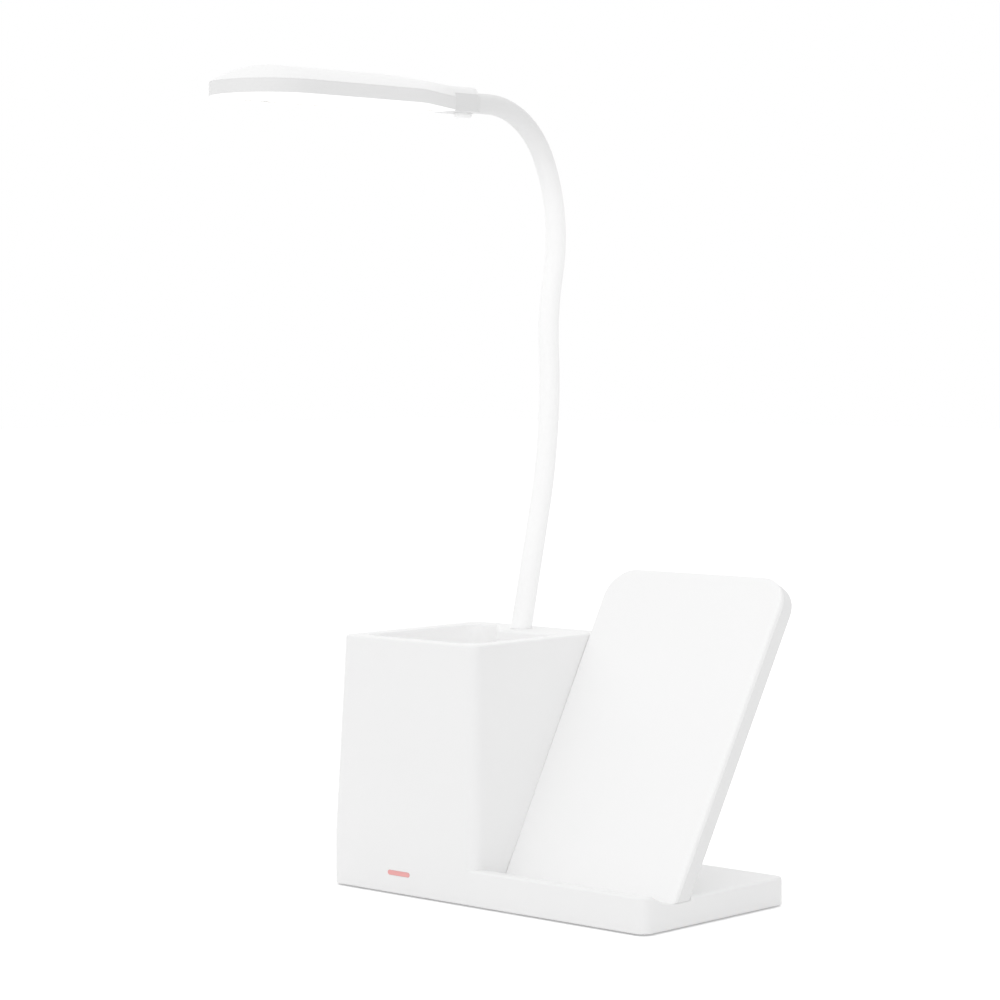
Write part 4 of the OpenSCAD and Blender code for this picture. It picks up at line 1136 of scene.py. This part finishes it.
def build_collar():
    """The grey collar, with its tongue into the rim and the holes for the button, screw and neck."""
    square = [(-COLLAR_HALF, -COLLAR_END), (COLLAR_HALF, -COLLAR_END)]
    outline = np.concatenate([square, arc((0, -COLLAR_ROUND_U), COLLAR_HALF, 0, 180, 32)])
    collar = block("collar", outline, COLLAR_LOW, COLLAR_TOP, COLLAR_EDGE_R, COLLAR_TOP_R)
    tongue = rectangle((0, -COLLAR_END - 4), TONGUE_W, 10.0, 0.3)
    fuse(collar, block("tongue", tongue, TONGUE_LOW, TONGUE_HIGH))
    hole = across_head(pill((0, 0), *BUTTON_HOLE))
    flange_hole = across_head(pill((0, 0), *FLANGE_HOLE))
    cut(collar, block("cutter", hole, COLLAR_LOW - PAST, COLLAR_LOW + 2))
    cut(collar, block("cutter", flange_hole, COLLAR_LOW + 1.2, COLLAR_TOP + PAST))
    screw = (0, -COLLAR_END - 5)
    cut(collar, block("cutter", circle(screw, SCREW_R), -3, 2))
    cut(collar, block("cutter", circle(screw, SCREW_HEAD_R), -3, BEZEL_TOP - 1.8))
    cut(collar, neck_bore())
    return at_head(collar)


def build_button():
    """The push button, with a flange above that keeps it in the collar."""
    outline = across_head(pill((0, 0), *BUTTON_SIZE))
    low, high = box_mm("dimmer_button")
    foot, top = low[2] - HEAD_Z, high[2] - HEAD_Z
    button = block("button_cap", outline, foot, top - 0.5, BUTTON_EDGE_R)
    fuse(button, block("flange", drawn_in(outline, -FLANGE_W), top - 1, top))
    return at_head(button)


# ---------------------------------------------------------------- the whole lamp

def dress_frame_nodes(finishes):
    """Gives every frame node that stays in view the finish of its slot, smooth on its round faces."""
    slots = {
        "bottom_cover": "cover", "non_slip_pad": "pad", "main_board": "board", "board_parts": "chip",
        "power_inlet": "socket", "indicator_window": "indicator", "indicator_led": "indicator_led",
        "indicator_board": "board", "charging_coil": "coil", "ferrite_sheet": "ferrite",
        "charger_board": "board", "charger_lead": "lead", "diffuser": "diffuser",
        "led_board": "led_board", "led_chips": "led", "button_switch": "chip",
    }
    for name, piece in frame["nodes"].items():
        slot = slots.get(name, "steel")
        if name.startswith("neck_core"):
            slot = "core"
        if name.startswith("neck_lead"):
            slot = "neck_lead"
        piece.data.materials.clear()
        piece.data.materials.append(finishes[slot])
        piece.data.shade_smooth()
        piece.data.set_sharp_from_angle(angle=math.radians(30))


def build_lamp():
    finishes = make_finishes()
    dress_frame_nodes(finishes)
    pieces = [
        (build_housing, "base", "housing", "body_shell"),
        (build_liner, "base", "liner", "cup_liner"),
        (build_plate_cover, "base", "plate", "plate_front"),
        (build_plate_back, "base", "tray", "plate_tray"),
        (build_socket, "swivel", "ferrule", "neck_ferrule"),
        (build_head_top, "head", "head", "head_top_shell"),
        (build_rim, "head", "bezel", "head_bezel"),
        (build_collar, "head", "collar", "head_collar"),
        (build_button, "button", "button", "dimmer_button"),
    ]
    for build, body, slot, replaced in pieces:
        piece = dress(build(), finishes[slot])
        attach(piece, body)
        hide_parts(replaced)
    build_neck(finishes["sleeve"])


# ---------------------------------------------------------------- floor, light and camera

def seen_directly(tree):
    """1 where the camera, gloss or a clear piece looks at it, and 0 where it only gives light."""
    path = node(tree, "ShaderNodeLightPath")
    seen = math_node(tree, "MAXIMUM", path.outputs["Is Camera Ray"], path.outputs["Is Glossy Ray"])
    return math_node(tree, "MAXIMUM", seen, path.outputs["Is Transmission Ray"])


def build_floor():
    """A pale floor that the camera sees as white, apart from the shadow on it."""
    mesh = bpy.data.meshes.new("floor")
    corners = [(x * FLOOR_HALF, y * FLOOR_HALF, 0) for x, y in ((-1, -1), (1, -1), (1, 1), (-1, 1))]
    mesh.from_pydata(corners, [], [(0, 1, 2, 3)])
    floor = bpy.data.objects.new("floor", mesh)
    bpy.context.scene.collection.objects.link(floor)
    material = bpy.data.materials.new("white floor")
    material.use_nodes = True
    tree = material.node_tree
    shader = tree.nodes["Principled BSDF"]
    shader.inputs["Base Color"].default_value = (0.9, 0.9, 0.9, 1)
    shader.inputs["Roughness"].default_value = 0.9
    shader.inputs["Specular IOR Level"].default_value = 0.0
    strength = math_node(tree, "MULTIPLY", seen_directly(tree), FLOOR_GLOW)
    glow = node(tree, "ShaderNodeEmission", {"Color": (*WHITE, 1.0), "Strength": strength})
    both = node(tree, "ShaderNodeAddShader", {0: shader.outputs[0], 1: glow.outputs[0]})
    tree.links.new(both.outputs[0], tree.nodes["Material Output"].inputs["Surface"])
    floor.data.materials.append(material)


def build_world():
    """Soft light from all round: most from above, least from the left front and the right back."""
    world = bpy.data.worlds.new("studio")
    bpy.context.scene.world = world
    world.use_nodes = True
    tree = world.node_tree
    background = tree.nodes["Background"]
    direction = node(tree, "ShaderNodeTexCoord").outputs["Generated"]
    along = node(tree, "ShaderNodeSeparateXYZ", {0: direction}).outputs
    across = math_node(tree, "MULTIPLY", along["X"], along["Y"])
    light = LIGHT_LEVEL
    growths = [(along["Z"], LIGHT_Z), (along["Y"], LIGHT_Y), (along["X"], LIGHT_X), (across, LIGHT_XY)]
    for place, growth in growths:
        light = math_node(tree, "ADD", math_node(tree, "MULTIPLY", place, growth), light)
    light = math_node(tree, "MINIMUM", light, LIGHT_MOST)
    seen = seen_directly(tree)
    strength = node(tree, "ShaderNodeMix", {"Factor": seen, "A": light, "B": 1.0}, data_type="FLOAT")
    background.inputs["Color"].default_value = (*WHITE, 1.0)
    tree.links.new(strength.outputs["Result"], background.inputs["Strength"])


def build_camera():
    turn, dip, roll = (math.radians(a) for a in CAMERA_ANGLES)
    ahead = Vector((-math.sin(turn) * math.cos(dip), math.cos(turn) * math.cos(dip), -math.sin(dip)))
    right = ahead.cross(Vector((0, 0, 1))).normalized()
    up = right.cross(ahead)
    right = right * math.cos(roll) + up * math.sin(roll)
    up = right.cross(ahead)
    data = bpy.data.cameras.new("camera")
    data.lens = CAMERA_LENS
    data.sensor_width = CAMERA_SENSOR
    data.clip_start = 0.05
    data.clip_end = 50.0
    camera = bpy.data.objects.new("camera", data)
    bpy.context.scene.collection.objects.link(camera)
    turned = Matrix((right, up, -ahead)).transposed().to_4x4()
    camera.matrix_world = Matrix.Translation(CAMERA_PLACE) @ turned
    bpy.context.scene.camera = camera


build_camera()
build_world()
build_floor()
build_lamp()
bpy.context.scene.view_settings.view_transform = "Standard"
